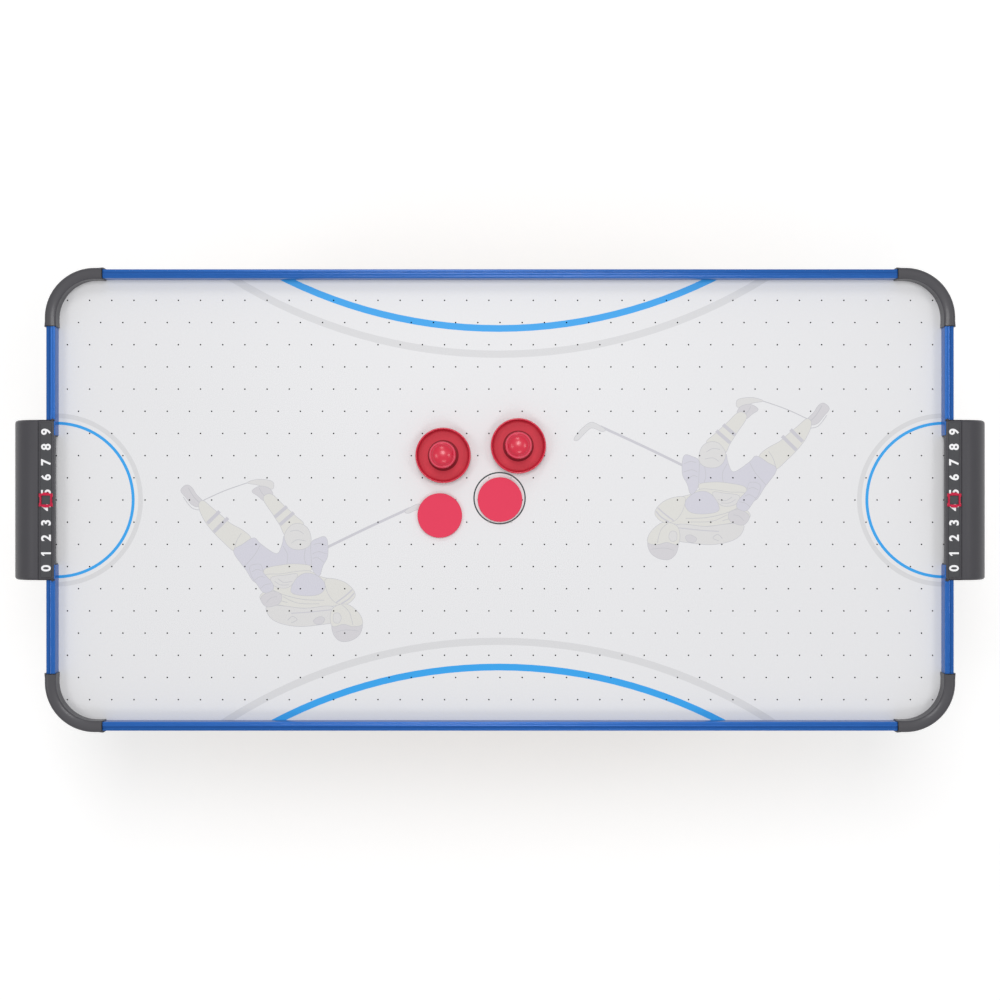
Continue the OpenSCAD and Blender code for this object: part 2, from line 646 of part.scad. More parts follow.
playfield();
plenum_base();
plenum_frame();
plenum_ribs();
long_apron(-1);  // apron_front
long_apron(1);  // apron_back
end_apron(-1);  // apron_left
end_apron(1);  // apron_right
corner_blocks();
corner_cap([-1, -1]);  // corner_front_left
corner_cap([1, -1]);  // corner_front_right
corner_cap([-1, 1]);  // corner_back_left
corner_cap([1, 1]);  // corner_back_right
long_rail(-1);  // rail_front
long_rail(1);  // rail_back
end_rail([-1, -1]);  // rail_left_front
end_rail([-1, 1]);  // rail_left_back
end_rail([1, -1]);  // rail_right_front
end_rail([1, 1]);  // rail_right_back
goal_hood(-1);  // goal_hood_left
goal_hood(1);  // goal_hood_right
goal_tray(-1);  // goal_tray_left
goal_tray(1);  // goal_tray_right
score_strip(-1);  // score_strip_left
score_strip(1);  // score_strip_right
score_marker(-1);  // score_marker_left
score_marker(1);  // score_marker_right
leg([-1, -1]);  // leg_front_left
leg([1, -1]);  // leg_front_right
leg([-1, 1]);  // leg_back_left
leg([1, 1]);  // leg_back_right
shoe([-1, -1]);  // shoe_front_left
shoe([1, -1]);  // shoe_front_right
shoe([-1, 1]);  // shoe_back_left
shoe([1, 1]);  // shoe_back_right
leveler([-1, -1]);  // leveler_front_left
leveler([1, -1]);  // leveler_front_right
leveler([-1, 1]);  // leveler_back_left
leveler([1, 1]);  // leveler_back_right
end_brace(-1);  // end_brace_left
end_brace(1);  // end_brace_right
leg_bolts();
case_screws();
fan_housing();
fan_impeller();
fan_motor();
fan_guard();
fan_gasket();
fan_screws();
fan_lead();
lead_clips();
switch_plate();
power_rocker();
power_inlet();
puck(0);  // puck_one
puck(1);  // puck_two
pusher(0);  // pusher_one
pusher(1);  // pusher_two
pusher_felt(0);  // pusher_felt_one
pusher_felt(1);  // pusher_felt_two
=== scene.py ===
"""Looks of an air hockey table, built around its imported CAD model.

Lengths are in millimetres until a mesh is made, where they become metres. The table's middle stands at
the origin on the floor, +X runs along the table, +Y points away from the switch side, and +Z points up.
"""

from __future__ import annotations

import json
import logging
import math
from collections.abc import Callable, Iterable, Iterator, Sequence
from dataclasses import dataclass, field
from enum import Enum
from typing import Any

import bmesh
import bpy
from mathutils import Matrix, Vector, geometry

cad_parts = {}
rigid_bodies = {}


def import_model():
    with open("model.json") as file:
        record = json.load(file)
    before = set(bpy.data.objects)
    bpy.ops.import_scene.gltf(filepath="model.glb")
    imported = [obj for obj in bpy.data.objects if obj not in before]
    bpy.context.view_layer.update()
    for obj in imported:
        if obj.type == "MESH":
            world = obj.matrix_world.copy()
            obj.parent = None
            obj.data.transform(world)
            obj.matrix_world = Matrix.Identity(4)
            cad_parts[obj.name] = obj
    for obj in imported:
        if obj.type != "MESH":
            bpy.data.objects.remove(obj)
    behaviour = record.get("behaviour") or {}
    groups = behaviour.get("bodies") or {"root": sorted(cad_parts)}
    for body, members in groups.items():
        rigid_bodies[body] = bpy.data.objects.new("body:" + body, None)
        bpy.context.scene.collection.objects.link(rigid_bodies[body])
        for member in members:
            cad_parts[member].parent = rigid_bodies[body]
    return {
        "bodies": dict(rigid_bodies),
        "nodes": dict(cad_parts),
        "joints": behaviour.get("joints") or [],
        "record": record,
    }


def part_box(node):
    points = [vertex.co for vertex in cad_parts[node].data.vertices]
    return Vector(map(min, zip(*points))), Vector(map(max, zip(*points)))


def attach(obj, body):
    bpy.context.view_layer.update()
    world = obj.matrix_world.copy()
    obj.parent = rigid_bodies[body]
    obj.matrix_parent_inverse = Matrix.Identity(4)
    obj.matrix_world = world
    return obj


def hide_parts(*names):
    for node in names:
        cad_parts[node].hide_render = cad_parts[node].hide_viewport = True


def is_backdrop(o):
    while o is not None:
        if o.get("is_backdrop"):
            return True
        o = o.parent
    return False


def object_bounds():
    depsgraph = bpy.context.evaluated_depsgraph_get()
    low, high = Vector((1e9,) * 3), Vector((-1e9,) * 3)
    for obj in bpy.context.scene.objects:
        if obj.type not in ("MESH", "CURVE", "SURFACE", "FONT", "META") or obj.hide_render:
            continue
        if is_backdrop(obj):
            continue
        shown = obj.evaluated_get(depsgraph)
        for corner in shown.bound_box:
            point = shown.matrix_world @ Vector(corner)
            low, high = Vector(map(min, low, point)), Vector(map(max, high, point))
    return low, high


LOG = logging.getLogger("air_hockey_table")
MM = 0.001
LEFT, RIGHT = -1, 1
CORNERS = {"front_left": (-1, -1), "front_right": (1, -1), "back_left": (-1, 1), "back_right": (1, 1)}

Colour = tuple[float, float, float]
Point = tuple[float, float]
Outline = list[Point]


# ---------- numbers and curves ----------


def srgb(red: int, green: int, blue: int) -> Colour:
    """Turns a 0 to 255 screen colour into the linear colour that shaders use."""
    parts = [part / 255 for part in (red, green, blue)]
    return tuple(part / 12.92 if part <= 0.04045 else ((part + 0.055) / 1.055) ** 2.4 for part in parts)


def arc(centre: Point, radii: Point | float, start: float, end: float, steps: int) -> Outline:
    """Points along an arc, both ends included.

    Args:
        centre: middle of the arc.
        radii: one radius, or one along each axis.
        start: first angle in degrees.
        end: last angle in degrees.
        steps: number of stretches.

    Returns:
        The points in order.
    """
    across, along = radii if isinstance(radii, tuple) else (radii, radii)
    turns = [math.radians(start + (end - start) * step / steps) for step in range(steps + 1)]
    return [(centre[0] + across * math.cos(turn), centre[1] + along * math.sin(turn)) for turn in turns]


def inside(point: Point, outline: Sequence[Point]) -> bool:
    """Says whether a point lies within a closed outline."""
    x, y = point
    odd = False
    previous_x, previous_y = outline[-1]
    for next_x, next_y in outline:
        if (next_y > y) != (previous_y > y):
            if x < (previous_x - next_x) * (y - next_y) / (previous_y - next_y) + next_x:
                odd = not odd
        previous_x, previous_y = next_x, next_y
    return odd


def inset(outline: Sequence[Point], amount: float) -> Outline:
    """Moves an open line of points to its right hand side by an amount, as a plane moves its tool."""
    moved = []
    for index, (x, y) in enumerate(outline):
        before = outline[max(0, index - 1)]
        after = outline[min(len(outline) - 1, index + 1)]
        run = Vector((after[0] - before[0], after[1] - before[1])).normalized()
        moved.append((x + run.y * amount, y - run.x * amount))
    return moved


# ---------- node trees ----------


class Tree:
    """A shader or geometry node tree that is built one node at a time."""

    def __init__(self, tree: bpy.types.NodeTree) -> None:
        """Takes an empty tree."""
        self.tree = tree

    def node(self, kind: str, inputs: dict[str | int, Any] | None = None, **settings: Any) -> bpy.types.Node:
        """Adds a node.

        Args:
            kind: Blender's name of the node's type.
            inputs: input name or index, and the constant or the socket that feeds it.
            settings: the node's own options.

        Returns:
            The new node.
        """
        node = self.tree.nodes.new(kind)
        for name, value in settings.items():
            setattr(node, name, value)
        for key, value in (inputs or {}).items():
            if isinstance(value, bpy.types.NodeSocket):
                self.tree.links.new(value, node.inputs[key])
            else:
                node.inputs[key].default_value = value
        return node

    def math(self, operation: str, first: Any, second: Any = 0.0) -> bpy.types.NodeSocket:
        """Adds a Math node and gives its result."""
        return self.node("ShaderNodeMath", {0: first, 1: second}, operation=operation).outputs[0]

    def group(self, tree: bpy.types.NodeTree, inputs: dict[str, Any]) -> bpy.types.Node:
        """Places a node group with its own values."""
        kind = "GeometryNodeGroup" if tree.bl_idname == "GeometryNodeTree" else "ShaderNodeGroup"
        node = self.tree.nodes.new(kind)
        node.node_tree = tree
        for key, value in inputs.items():
            if isinstance(value, bpy.types.NodeSocket):
                self.tree.links.new(value, node.inputs[key])
            else:
                node.inputs[key].default_value = (*value, 1.0) if isinstance(value, tuple) else value
        return node


def socket_kind(value: Any) -> str:
    """Names the socket type that suits a default value."""
    if isinstance(value, tuple):
        return "NodeSocketColor"
    if isinstance(value, int):
        return "NodeSocketInt"
    return "NodeSocketFloat" if isinstance(value, float) else "NodeSocketVector"


class Effects:
    """Shader node groups that more than one finish uses."""

    @staticmethod
    def _start(name: str, inputs: dict[str, Any], outputs: dict[str, str]) -> tuple[Tree, Any, Any]:
        """Makes an empty shader group with its sockets.

        Args:
            name: name of the group.
            inputs: input names and defaults.
            outputs: output names and socket types.

        Returns:
            The tree, its input node's sockets and its output node.
        """
        tree = bpy.data.node_groups.new(name, "ShaderNodeTree")
        for key, value in inputs.items():
            socket = tree.interface.new_socket(key, in_out="INPUT", socket_type=socket_kind(value))
            socket.default_value = (*value, 1.0) if isinstance(value, tuple) else value
        for key, kind in outputs.items():
            tree.interface.new_socket(key, in_out="OUTPUT", socket_type=kind)
        work = Tree(tree)
        return work, work.node("NodeGroupInput").outputs, work.node("NodeGroupOutput")

    @classmethod
    def grain(cls) -> bpy.types.NodeTree:
        """Fine pitted texture of a moulded or printed surface, with roughness that varies with it."""
        name = "moulded_grain"
        if name in bpy.data.node_groups:
            return bpy.data.node_groups[name]
        outputs = {"Height": "NodeSocketFloat", "Roughness": "NodeSocketFloat"}
        work, given, out = cls._start(name, {"Size": 0.6, "Roughness": 0.5, "Swing": 0.1}, outputs)
        place = work.node("ShaderNodeTexCoord").outputs["Object"]
        scale = work.math("DIVIDE", 1 / MM, given["Size"])
        cloud = work.node("ShaderNodeTexNoise", {"Vector": place, "Scale": scale, "Detail": 2.0}).outputs[0]
        pits = work.node("ShaderNodeTexVoronoi", {"Vector": place, "Scale": scale}).outputs["Distance"]
        height = work.math("MULTIPLY_ADD", pits, 0.5)
        work.tree.links.new(cloud, height.node.inputs[2])
        smear = work.math("SUBTRACT", cloud, 0.5)
        work.tree.links.new(height, out.inputs["Height"])
        swing = work.math("MULTIPLY_ADD", smear, given["Swing"])
        work.tree.links.new(given["Roughness"], swing.node.inputs[2])
        work.tree.links.new(swing, out.inputs["Roughness"])
        return work.tree

    @classmethod
    def drift(cls) -> bpy.types.NodeTree:
        """Slow change of tone over a surface."""
        name = "tone_drift"
        if name in bpy.data.node_groups:
            return bpy.data.node_groups[name]
        inputs = {"Colour": (0.5, 0.5, 0.5), "Size": 80.0, "Amount": 0.1}
        work, given, out = cls._start(name, inputs, {"Colour": "NodeSocketColor"})
        place = work.node("ShaderNodeTexCoord").outputs["Object"]
        scale = work.math("DIVIDE", 1 / MM, given["Size"])
        cloud = work.node("ShaderNodeTexNoise", {"Vector": place, "Scale": scale, "Detail": 4.0}).outputs[0]
        swing = work.math("MULTIPLY", work.math("SUBTRACT", cloud, 0.5), given["Amount"])
        factor = work.math("ADD", swing, 1.0)
        scaled = work.node("ShaderNodeVectorMath", {0: given["Colour"]}, operation="SCALE")
        work.tree.links.new(factor, scaled.inputs["Scale"])
        work.tree.links.new(scaled.outputs[0], out.inputs["Colour"])
        return work.tree

    @classmethod
    def rub(cls) -> bpy.types.NodeTree:
        """Wear that shows along outer edges."""
        name = "rubbed_edges"
        if name in bpy.data.node_groups:
            return bpy.data.node_groups[name]
        inputs = {"Colour": (0.5, 0.5, 0.5), "Worn": (0.8, 0.8, 0.8), "Amount": 0.3}
        outputs = {"Colour": "NodeSocketColor", "Mask": "NodeSocketFloat"}
        work, given, out = cls._start(name, inputs, outputs)
        place = work.node("ShaderNodeTexCoord").outputs["Object"]
        patches = work.node("ShaderNodeTexNoise", {"Vector": place, "Scale": 45.0, "Detail": 5.0}).outputs[0]
        point = work.node("ShaderNodeNewGeometry").outputs["Pointiness"]
        edge = work.node("ShaderNodeMapRange", {"Value": point, "From Min": 0.52, "From Max": 0.6}).outputs[0]
        chipped = work.node("ShaderNodeMapRange", {"Value": patches, "From Min": 0.4, "From Max": 0.7})
        mask = work.math("MULTIPLY", work.math("MULTIPLY", edge, chipped.outputs[0]), given["Amount"])
        mix = work.node("ShaderNodeMix", {0: mask, 6: given["Colour"], 7: given["Worn"]}, data_type="RGBA")
        work.tree.links.new(mix.outputs[2], out.inputs["Colour"])
        work.tree.links.new(mask, out.inputs["Mask"])
        return work.tree

    @classmethod
    def streaks(cls) -> bpy.types.NodeTree:
        """Fine lines drawn out along one axis, as on extruded metal or wood."""
        name = "drawn_streaks"
        if name in bpy.data.node_groups:
            return bpy.data.node_groups[name]
        inputs = {"Across X": 1.0, "Across Y": 1.0, "Across Z": 1.0, "Size": 0.5}
        work, given, out = cls._start(name, inputs, {"Height": "NodeSocketFloat"})
        place = work.node("ShaderNodeTexCoord").outputs["Object"]
        stretch = work.node("ShaderNodeCombineXYZ", {axis: given[f"Across {axis}"] for axis in "XYZ"})
        drawn = work.node("ShaderNodeVectorMath", {0: place, 1: stretch.outputs[0]}, operation="MULTIPLY")
        scale = work.math("DIVIDE", 1 / MM, given["Size"])
        lines = work.node("ShaderNodeTexNoise", {"Vector": drawn.outputs[0], "Scale": scale, "Detail": 3.0})
        work.tree.links.new(lines.outputs[0], out.inputs["Height"])
        return work.tree


# ---------- finishes ----------


@dataclass(frozen=True)
class Finish:
    """A surface finish with a fine texture, a slow drift of tone and worn edges.

    Grain and drift are in millimetres, and depth is the texture's height.
    """

    name: str
    colour: Colour
    roughness: float = 0.45
    metallic: float = 0.0
    grain: float = 0.7
    depth: float = 0.03
    swing: float = 0.12
    drift_size: float = 60.0
    drift: float = 0.12
    rubbed: float = 0.0
    worn: Colour = (0.5, 0.5, 0.5)
    coat: float = 0.0
    specular: float = 0.5

    def material(self) -> bpy.types.Material:
        """Gives the finish's material, made the first time that it is asked for."""
        name = f"{self.name}_finish"
        if name in bpy.data.materials:
            return bpy.data.materials[name]
        material = bpy.data.materials.new(name)
        material.use_nodes = True
        material.diffuse_color = (*self.colour, 1.0)
        tree = Tree(material.node_tree)
        shader = material.node_tree.nodes["Principled BSDF"]
        shader.inputs["Metallic"].default_value = self.metallic
        shader.inputs["Coat Weight"].default_value = self.coat
        shader.inputs["Coat Roughness"].default_value = 0.15
        shader.inputs["Specular IOR Level"].default_value = self.specular
        self.surface(tree, shader)
        return material

    def surface(self, tree: Tree, shader: bpy.types.Node) -> None:
        """Feeds the shader's colour, roughness and normal."""
        tree.tree.links.new(self.tone(tree), shader.inputs["Base Color"])
        values = {"Size": self.grain, "Roughness": self.roughness, "Swing": self.swing}
        texture = tree.group(Effects.grain(), values)
        tree.tree.links.new(texture.outputs["Roughness"], shader.inputs["Roughness"])
        self.relief(tree, shader, texture.outputs["Height"])

    def tone(self, tree: Tree) -> bpy.types.NodeSocket:
        """Colour with its drift and its worn edges."""
        values = {"Colour": self.colour, "Size": self.drift_size, "Amount": self.drift}
        toned = tree.group(Effects.drift(), values).outputs["Colour"]
        if not self.rubbed:
            return toned
        values = {"Colour": toned, "Worn": self.worn, "Amount": self.rubbed}
        return tree.group(Effects.rub(), values).outputs["Colour"]

    def relief(self, tree: Tree, shader: bpy.types.Node, height: bpy.types.NodeSocket) -> None:
        """Feeds the shader's normal from a height."""
        bump = tree.node("ShaderNodeBump", {"Height": height, "Strength": 1.0, "Distance": self.depth * MM})
        tree.tree.links.new(bump.outputs[0], shader.inputs["Normal"])


class Grain(Enum):
    """Direction that a drawn or grained finish runs in."""

    ALONG_X = (0.02, 1.0, 1.0)
    ALONG_Y = (1.0, 0.02, 1.0)
    ALONG_Z = (1.0, 1.0, 0.02)


@dataclass(frozen=True)
class Drawn(Finish):
    """A finish whose texture is drawn out along one axis: extruded metal, wood grain or laminate."""

    run: Grain = Grain.ALONG_X
    line: float = 0.6
    contrast: float = 0.25

    def surface(self, tree: Tree, shader: bpy.types.Node) -> None:
        """Feeds the shader's colour, roughness and normal from fine lines."""
        across = dict(zip(("Across X", "Across Y", "Across Z"), self.run.value))
        lines = tree.group(Effects.streaks(), {**across, "Size": self.line}).outputs["Height"]
        factor = tree.node("ShaderNodeMapRange", {"Value": lines, "From Min": 0.3, "From Max": 0.7,
                                                  "To Min": 1 - self.contrast, "To Max": 1 + self.contrast})
        shaded = tree.node("ShaderNodeVectorMath", {0: self.tone(tree)}, operation="SCALE")
        tree.tree.links.new(factor.outputs[0], shaded.inputs["Scale"])
        tree.tree.links.new(shaded.outputs[0], shader.inputs["Base Color"])
        rough = tree.node("ShaderNodeMapRange", {"Value": lines, "From Min": 0.3, "From Max": 0.7,
                                                 "To Min": self.roughness - self.swing,
                                                 "To Max": self.roughness + self.swing})
        tree.tree.links.new(rough.outputs[0], shader.inputs["Roughness"])
        self.relief(tree, shader, lines)


@dataclass(frozen=True)
class Fibre(Finish):
    """Pressed fibreboard, foam or felt: small light and dark flecks over a soft surface."""

    fleck: Colour = (0.3, 0.2, 0.12)
    flecks: float = 0.5
    sheen: float = 0.0

    def surface(self, tree: Tree, shader: bpy.types.Node) -> None:
        """Feeds the shader's colour, roughness and normal from flecks."""
        values = {"Size": self.grain, "Roughness": self.roughness, "Swing": self.swing}
        texture = tree.group(Effects.grain(), values)
        spread = tree.node("ShaderNodeMapRange", {"Value": texture.outputs["Height"], "From Min": 0.5,
                                                  "From Max": 1.0, "To Max": self.flecks})
        mixed = tree.node("ShaderNodeMix", {0: spread.outputs[0], 6: self.tone(tree), 7: (*self.fleck, 1.0)},
                          data_type="RGBA")
        shader.inputs["Sheen Weight"].default_value = self.sheen
        tree.tree.links.new(mixed.outputs[2], shader.inputs["Base Color"])
        tree.tree.links.new(texture.outputs["Roughness"], shader.inputs["Roughness"])
        self.relief(tree, shader, texture.outputs["Height"])


@dataclass(frozen=True)
class Tinted(Finish):
    """Clear tinted plastic that lets some of what lies under it show."""

    clearness: float = 0.5

    def surface(self, tree: Tree, shader: bpy.types.Node) -> None:
        """Adds the share of light that goes through to the plain finish."""
        super().surface(tree, shader)
        shader.inputs["Transmission Weight"].default_value = self.clearness
        shader.inputs["IOR"].default_value = 1.3


def ink(name: str, colour: Colour) -> Finish:
    """Satin print on the playfield's laminate."""
    return Finish(name, colour, roughness=0.42, grain=1.3, depth=0.006, swing=0.08, drift_size=240.0,
                  drift=0.02, specular=0.35)


class Ink(Enum):
    """Inks on the playfield, the first of which is its bare face; the last is near-black painted shade for
    the air holes' walls.
    """

    WHITE = ink("deck_white", srgb(226, 226, 228))
    BLUE = ink("deck_blue", srgb(44, 160, 232))
    GREY = ink("deck_grey", srgb(212, 212, 214))
    DARK = ink("deck_dark", srgb(48, 62, 64))
    LINE = ink("figure_line", srgb(191, 191, 196))
    CREAM = ink("figure_cream", srgb(216, 215, 211))
    LAVENDER = ink("figure_lavender", srgb(205, 204, 214))
    MIST = ink("figure_mist", srgb(206, 204, 208))
    PALE = ink("figure_pale", srgb(214, 213, 213))
    BAND = ink("figure_band", srgb(197, 196, 203))
    # Painted shade: near-black on the air holes' walls, standing in for the shade inside the holes.
    BORE = ink("hole_wall", srgb(26, 27, 30))


def anodised(name: str, run: Grain) -> Drawn:
    """Blue anodised extrusion, with its lines along one axis."""
    return Drawn(name, srgb(14, 95, 178), roughness=0.4, metallic=0.5, coat=0.45, run=run, line=0.35,
                 depth=0.003, contrast=0.03, swing=0.05, drift=0.03)


def laminate(name: str, run: Grain) -> Drawn:
    """Black grained laminate, with its grain along one axis."""
    return Drawn(name, srgb(52, 53, 57), roughness=0.46, run=run, line=2.2, depth=0.05, contrast=0.1,
                 swing=0.06, drift=0.06, rubbed=0.3, worn=srgb(105, 100, 96))


class Finishes:
    """Every finish of the table apart from its inks."""

    board = Fibre("bare_fibreboard", srgb(176, 142, 104), roughness=0.85, grain=1.1, depth=0.08,
                  fleck=srgb(120, 88, 58), flecks=0.7, drift=0.18, specular=0.2)
    rail = anodised("blue_anodised", Grain.ALONG_X)
    end_rail = anodised("blue_anodised_end", Grain.ALONG_Y)
    cap = Finish("charcoal_cap", srgb(75, 74, 78), roughness=0.42, specular=0.25, coat=0.2, grain=0.9,
                 depth=0.04, drift=0.1)
    goal = Finish("charcoal_goal", srgb(75, 74, 78), roughness=0.4, specular=0.2, grain=0.8,
                  depth=0.03, drift=0.08)
    scorer = Finish("scorer_strip", srgb(56, 57, 61), roughness=0.5, grain=0.5, depth=0.03)
    digit = Finish("scorer_digits", srgb(240, 240, 242), roughness=0.45, grain=0.5, depth=0.004)
    marker = Tinted("marker_red", srgb(226, 34, 78), roughness=0.25, grain=1.2, depth=0.004, swing=0.05,
                    clearness=0.35)
    laminate_x = laminate("black_laminate_x", Grain.ALONG_X)
    laminate_y = laminate("black_laminate_y", Grain.ALONG_Y)
    laminate_z = laminate("black_laminate_z", Grain.ALONG_Z)
    shoe = Finish("shoe_black", srgb(34, 35, 37), roughness=0.55, grain=0.8, depth=0.06, rubbed=0.4,
                  worn=srgb(80, 80, 82))
    zinc = Finish("zinc_plate", srgb(176, 178, 182), roughness=0.34, metallic=0.9, grain=3.0, depth=0.01,
                  swing=0.25, drift_size=6.0, drift=0.25, rubbed=0.2, worn=srgb(220, 222, 226))
    fan = Finish("fan_black", srgb(36, 37, 40), roughness=0.48, grain=0.6, depth=0.04, rubbed=0.2,
                 worn=srgb(90, 90, 94))
    motor = Drawn("turned_steel", srgb(168, 170, 174), roughness=0.32, metallic=0.9, run=Grain.ALONG_X,
                  line=0.3, depth=0.01, contrast=0.1)
    guard = Finish("plated_wire", srgb(190, 192, 196), roughness=0.22, metallic=0.95, grain=2.0, depth=0.006,
                   swing=0.12, drift_size=8.0, drift=0.12)
    foam = Fibre("gasket_foam", srgb(62, 62, 66), roughness=0.95, grain=0.9, depth=0.2,
                 fleck=srgb(28, 28, 30), flecks=0.9, specular=0.1)
    lead = Finish("lead_black", srgb(30, 30, 33), roughness=0.4, grain=0.5, depth=0.01, drift=0.1)
    nylon = Finish("clip_nylon", srgb(224, 223, 216), roughness=0.4, grain=0.8, depth=0.01, drift=0.06)
    switch = Finish("switch_black", srgb(38, 38, 41), roughness=0.36, grain=0.4, depth=0.02, rubbed=0.25,
                    worn=srgb(95, 95, 98))
    puck = Finish("puck_red", srgb(226, 63, 92), roughness=0.6, specular=0.15, grain=0.9, depth=0.01,
                  drift=0.03)
    pusher = Finish("pusher_red", srgb(212, 30, 62), roughness=0.3, grain=1.4, depth=0.006, drift=0.04,
                    rubbed=0.1, worn=srgb(255, 120, 150), coat=0.3)
    trough = Finish("pusher_trough", srgb(212, 54, 72), roughness=0.55, grain=0.6, depth=0.03, drift=0.1,
                    specular=0.3)
    # Painted shadow: dark red for the ring round the neck's foot, where the knob's overhang casts shade.
    hollow = Finish("pusher_hollow", srgb(138, 12, 32), roughness=0.5, grain=0.6, depth=0.02, specular=0.2)
    # Painted highlight: light pink band on the knob's rounded edge, standing in for its bright reflection.
    bead = Finish("pusher_bead", srgb(240, 96, 122), roughness=0.3, grain=0.8, depth=0.004, drift=0.05)
    felt = Fibre("pusher_felt", srgb(196, 196, 192), roughness=0.95, grain=0.5, depth=0.15,
                 fleck=srgb(150, 150, 148), flecks=0.6, sheen=0.4, specular=0.1)


# ---------- meshes ----------


@dataclass(frozen=True)
class Box:
    """Lowest and highest corner of a CAD node, in millimetres."""

    lo: Vector
    hi: Vector

    @property
    def centre(self) -> Vector:
        """Middle of the box."""
        return (self.lo + self.hi) / 2

    @property
    def size(self) -> Vector:
        """Length of each side."""
        return self.hi - self.lo


class Bench:
    """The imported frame: where each CAD node lies, what it rides on and which slot it takes."""

    def __init__(self) -> None:
        """Loads the frame and keeps the box that it fills."""
        self.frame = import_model()
        self.cad_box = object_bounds()
        record = self.frame["record"]
        self.slots = {part["node"]: part["material_slot"] for part in record["subparts"]}
        bodies = record["behaviour"]["bodies"]
        self.bodies = {node: body for body, nodes in bodies.items() for node in nodes}

    def box(self, node: str) -> Box:
        """Box of a CAD node."""
        lo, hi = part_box(node)
        return Box(lo / MM, hi / MM)

    def mount(self, piece: bpy.types.Object, *nodes: str, like: str = "") -> bpy.types.Object:
        """Lets a piece stand for CAD nodes, or ride beside one.

        Args:
            piece: the finished object.
            nodes: CAD nodes that it stands for.
            like: a CAD node whose body it takes when it stands for none.

        Returns:
            The same object.
        """
        model = nodes[0] if nodes else like
        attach(piece, self.bodies[model])
        if nodes:
            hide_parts(*nodes)
        LOG.info("%s: %d faces on %s", piece.name, len(piece.data.polygons), self.bodies[model])
        return piece

    def dress(self, node: str, finish: Finish) -> None:
        """Gives a CAD node that stays its finish."""
        for holder in self.frame["nodes"][node].material_slots:
            holder.material = finish.material()
        LOG.info("%s: CAD shape in %s", node, finish.name)

    def copy(self, node: str) -> bmesh.types.BMesh:
        """A welded copy of a CAD node's mesh in millimetres, with its flat faces joined up."""
        shape = bmesh.new()
        shape.from_mesh(self.frame["nodes"][node].data)
        bmesh.ops.scale(shape, vec=(1 / MM,) * 3, verts=shape.verts)
        bmesh.ops.remove_doubles(shape, verts=shape.verts, dist=0.01)
        bmesh.ops.dissolve_limit(shape, angle_limit=math.radians(1), verts=shape.verts, edges=shape.edges)
        return shape

    def eased(self, node: str, finish: Finish, width: float, segments: int = 2, bend: float = 35.0
              ) -> bpy.types.Object:
        """Replaces a CAD node by the same shape with rounded edges.

        Args:
            node: name of the CAD node.
            finish: finish of the piece.
            width: width of the rounding.
            segments: steps of the rounding.
            bend: sharpest angle in degrees that isn't rounded.

        Returns:
            The new piece.
        """
        piece = to_piece(self.copy(node), f"{node}_shell", [finish], width, segments, bend)
        return self.mount(piece, node)


def to_piece(shape: bmesh.types.BMesh, name: str, finishes: Sequence[Finish], width: float = 0.0,
             segments: int = 2, bend: float = 35.0) -> bpy.types.Object:
    """Turns a worked shape into an object in metres.

    Args:
        shape: the shape in millimetres, which is used up.
        name: name of the object.
        finishes: one finish for each material index.
        width: width of the rounding along edges, or 0 for none.
        segments: steps of the rounding.
        bend: angle in degrees past which an edge is rounded, or stays sharp.

    Returns:
        The object at the origin, with its place in its mesh.
    """
    bmesh.ops.scale(shape, vec=(MM,) * 3, verts=shape.verts)
    mesh = bpy.data.meshes.new(name)
    shape.to_mesh(mesh)
    shape.free()
    for finish in finishes:
        mesh.materials.append(finish.material())
    piece = bpy.data.objects.new(name, mesh)
    bpy.context.scene.collection.objects.link(piece)
    mesh.shade_smooth()
    if width:
        bevel = piece.modifiers.new("rounding", "BEVEL")
        bevel.width = width * MM
        bevel.segments = segments
        bevel.limit_method = "ANGLE"
        bevel.angle_limit = math.radians(bend)
        piece.modifiers.new("faces", "WEIGHTED_NORMAL")
        freeze(piece)
    else:
        mesh.set_sharp_from_angle(angle=math.radians(bend))
    return piece


def freeze(piece: bpy.types.Object) -> bpy.types.Object:
    """Turns an object's modifiers into plain mesh."""
    graph = bpy.context.evaluated_depsgraph_get()
    graph.update()
    mesh = bpy.data.meshes.new_from_object(piece.evaluated_get(graph))
    piece.modifiers.clear()
    piece.data = mesh
    mesh.name = piece.name
    return piece


def prism(shape: bmesh.types.BMesh, outline: Sequence[Point], place: Callable[[float, float, float], Vector],
          start: float, end: float, material: int = 0) -> None:
    """Adds an outline pushed out into a closed solid.

    Args:
        shape: the shape that takes it.
        outline: points of the closed outline.
        place: puts a point of the outline and a length into space.
        start: length at which it begins.
        end: length at which it ends.
        material: index of its finish.
    """
    rings = [[shape.verts.new(place(u, v, w)) for u, v in outline] for w in (start, end)]
    faces = [shape.faces.new(rings[0]), shape.faces.new(list(reversed(rings[1])))]
    faces += bridge(shape, rings[0], rings[1], closed=True)
    for face in faces:
        face.material_index = material
    bmesh.ops.recalc_face_normals(shape, faces=faces)


def bridge(shape: bmesh.types.BMesh, first: Sequence[Any], second: Sequence[Any], closed: bool) -> list[Any]:
    """Joins two rows of vertices by quads, and gives the new faces."""
    count = len(first)
    spans = range(count if closed else count - 1)
    return [shape.faces.new((first[i], second[i], second[(i + 1) % count], first[(i + 1) % count]))
            for i in spans]


def slab(shape: bmesh.types.BMesh, low: Sequence[float], high: Sequence[float]) -> None:
    """Adds a block between two corners."""
    outline = [(low[0], low[1]), (high[0], low[1]), (high[0], high[1]), (low[0], high[1])]
    prism(shape, outline, lambda u, v, w: Vector((u, v, w)), low[2], high[2])


def polar(centre: Point, radius: float, turn: float, height: float) -> Vector:
    """The point at a radius and a turn in radians from an upright axis."""
    return Vector((centre[0] + radius * math.cos(turn), centre[1] + radius * math.sin(turn), height))


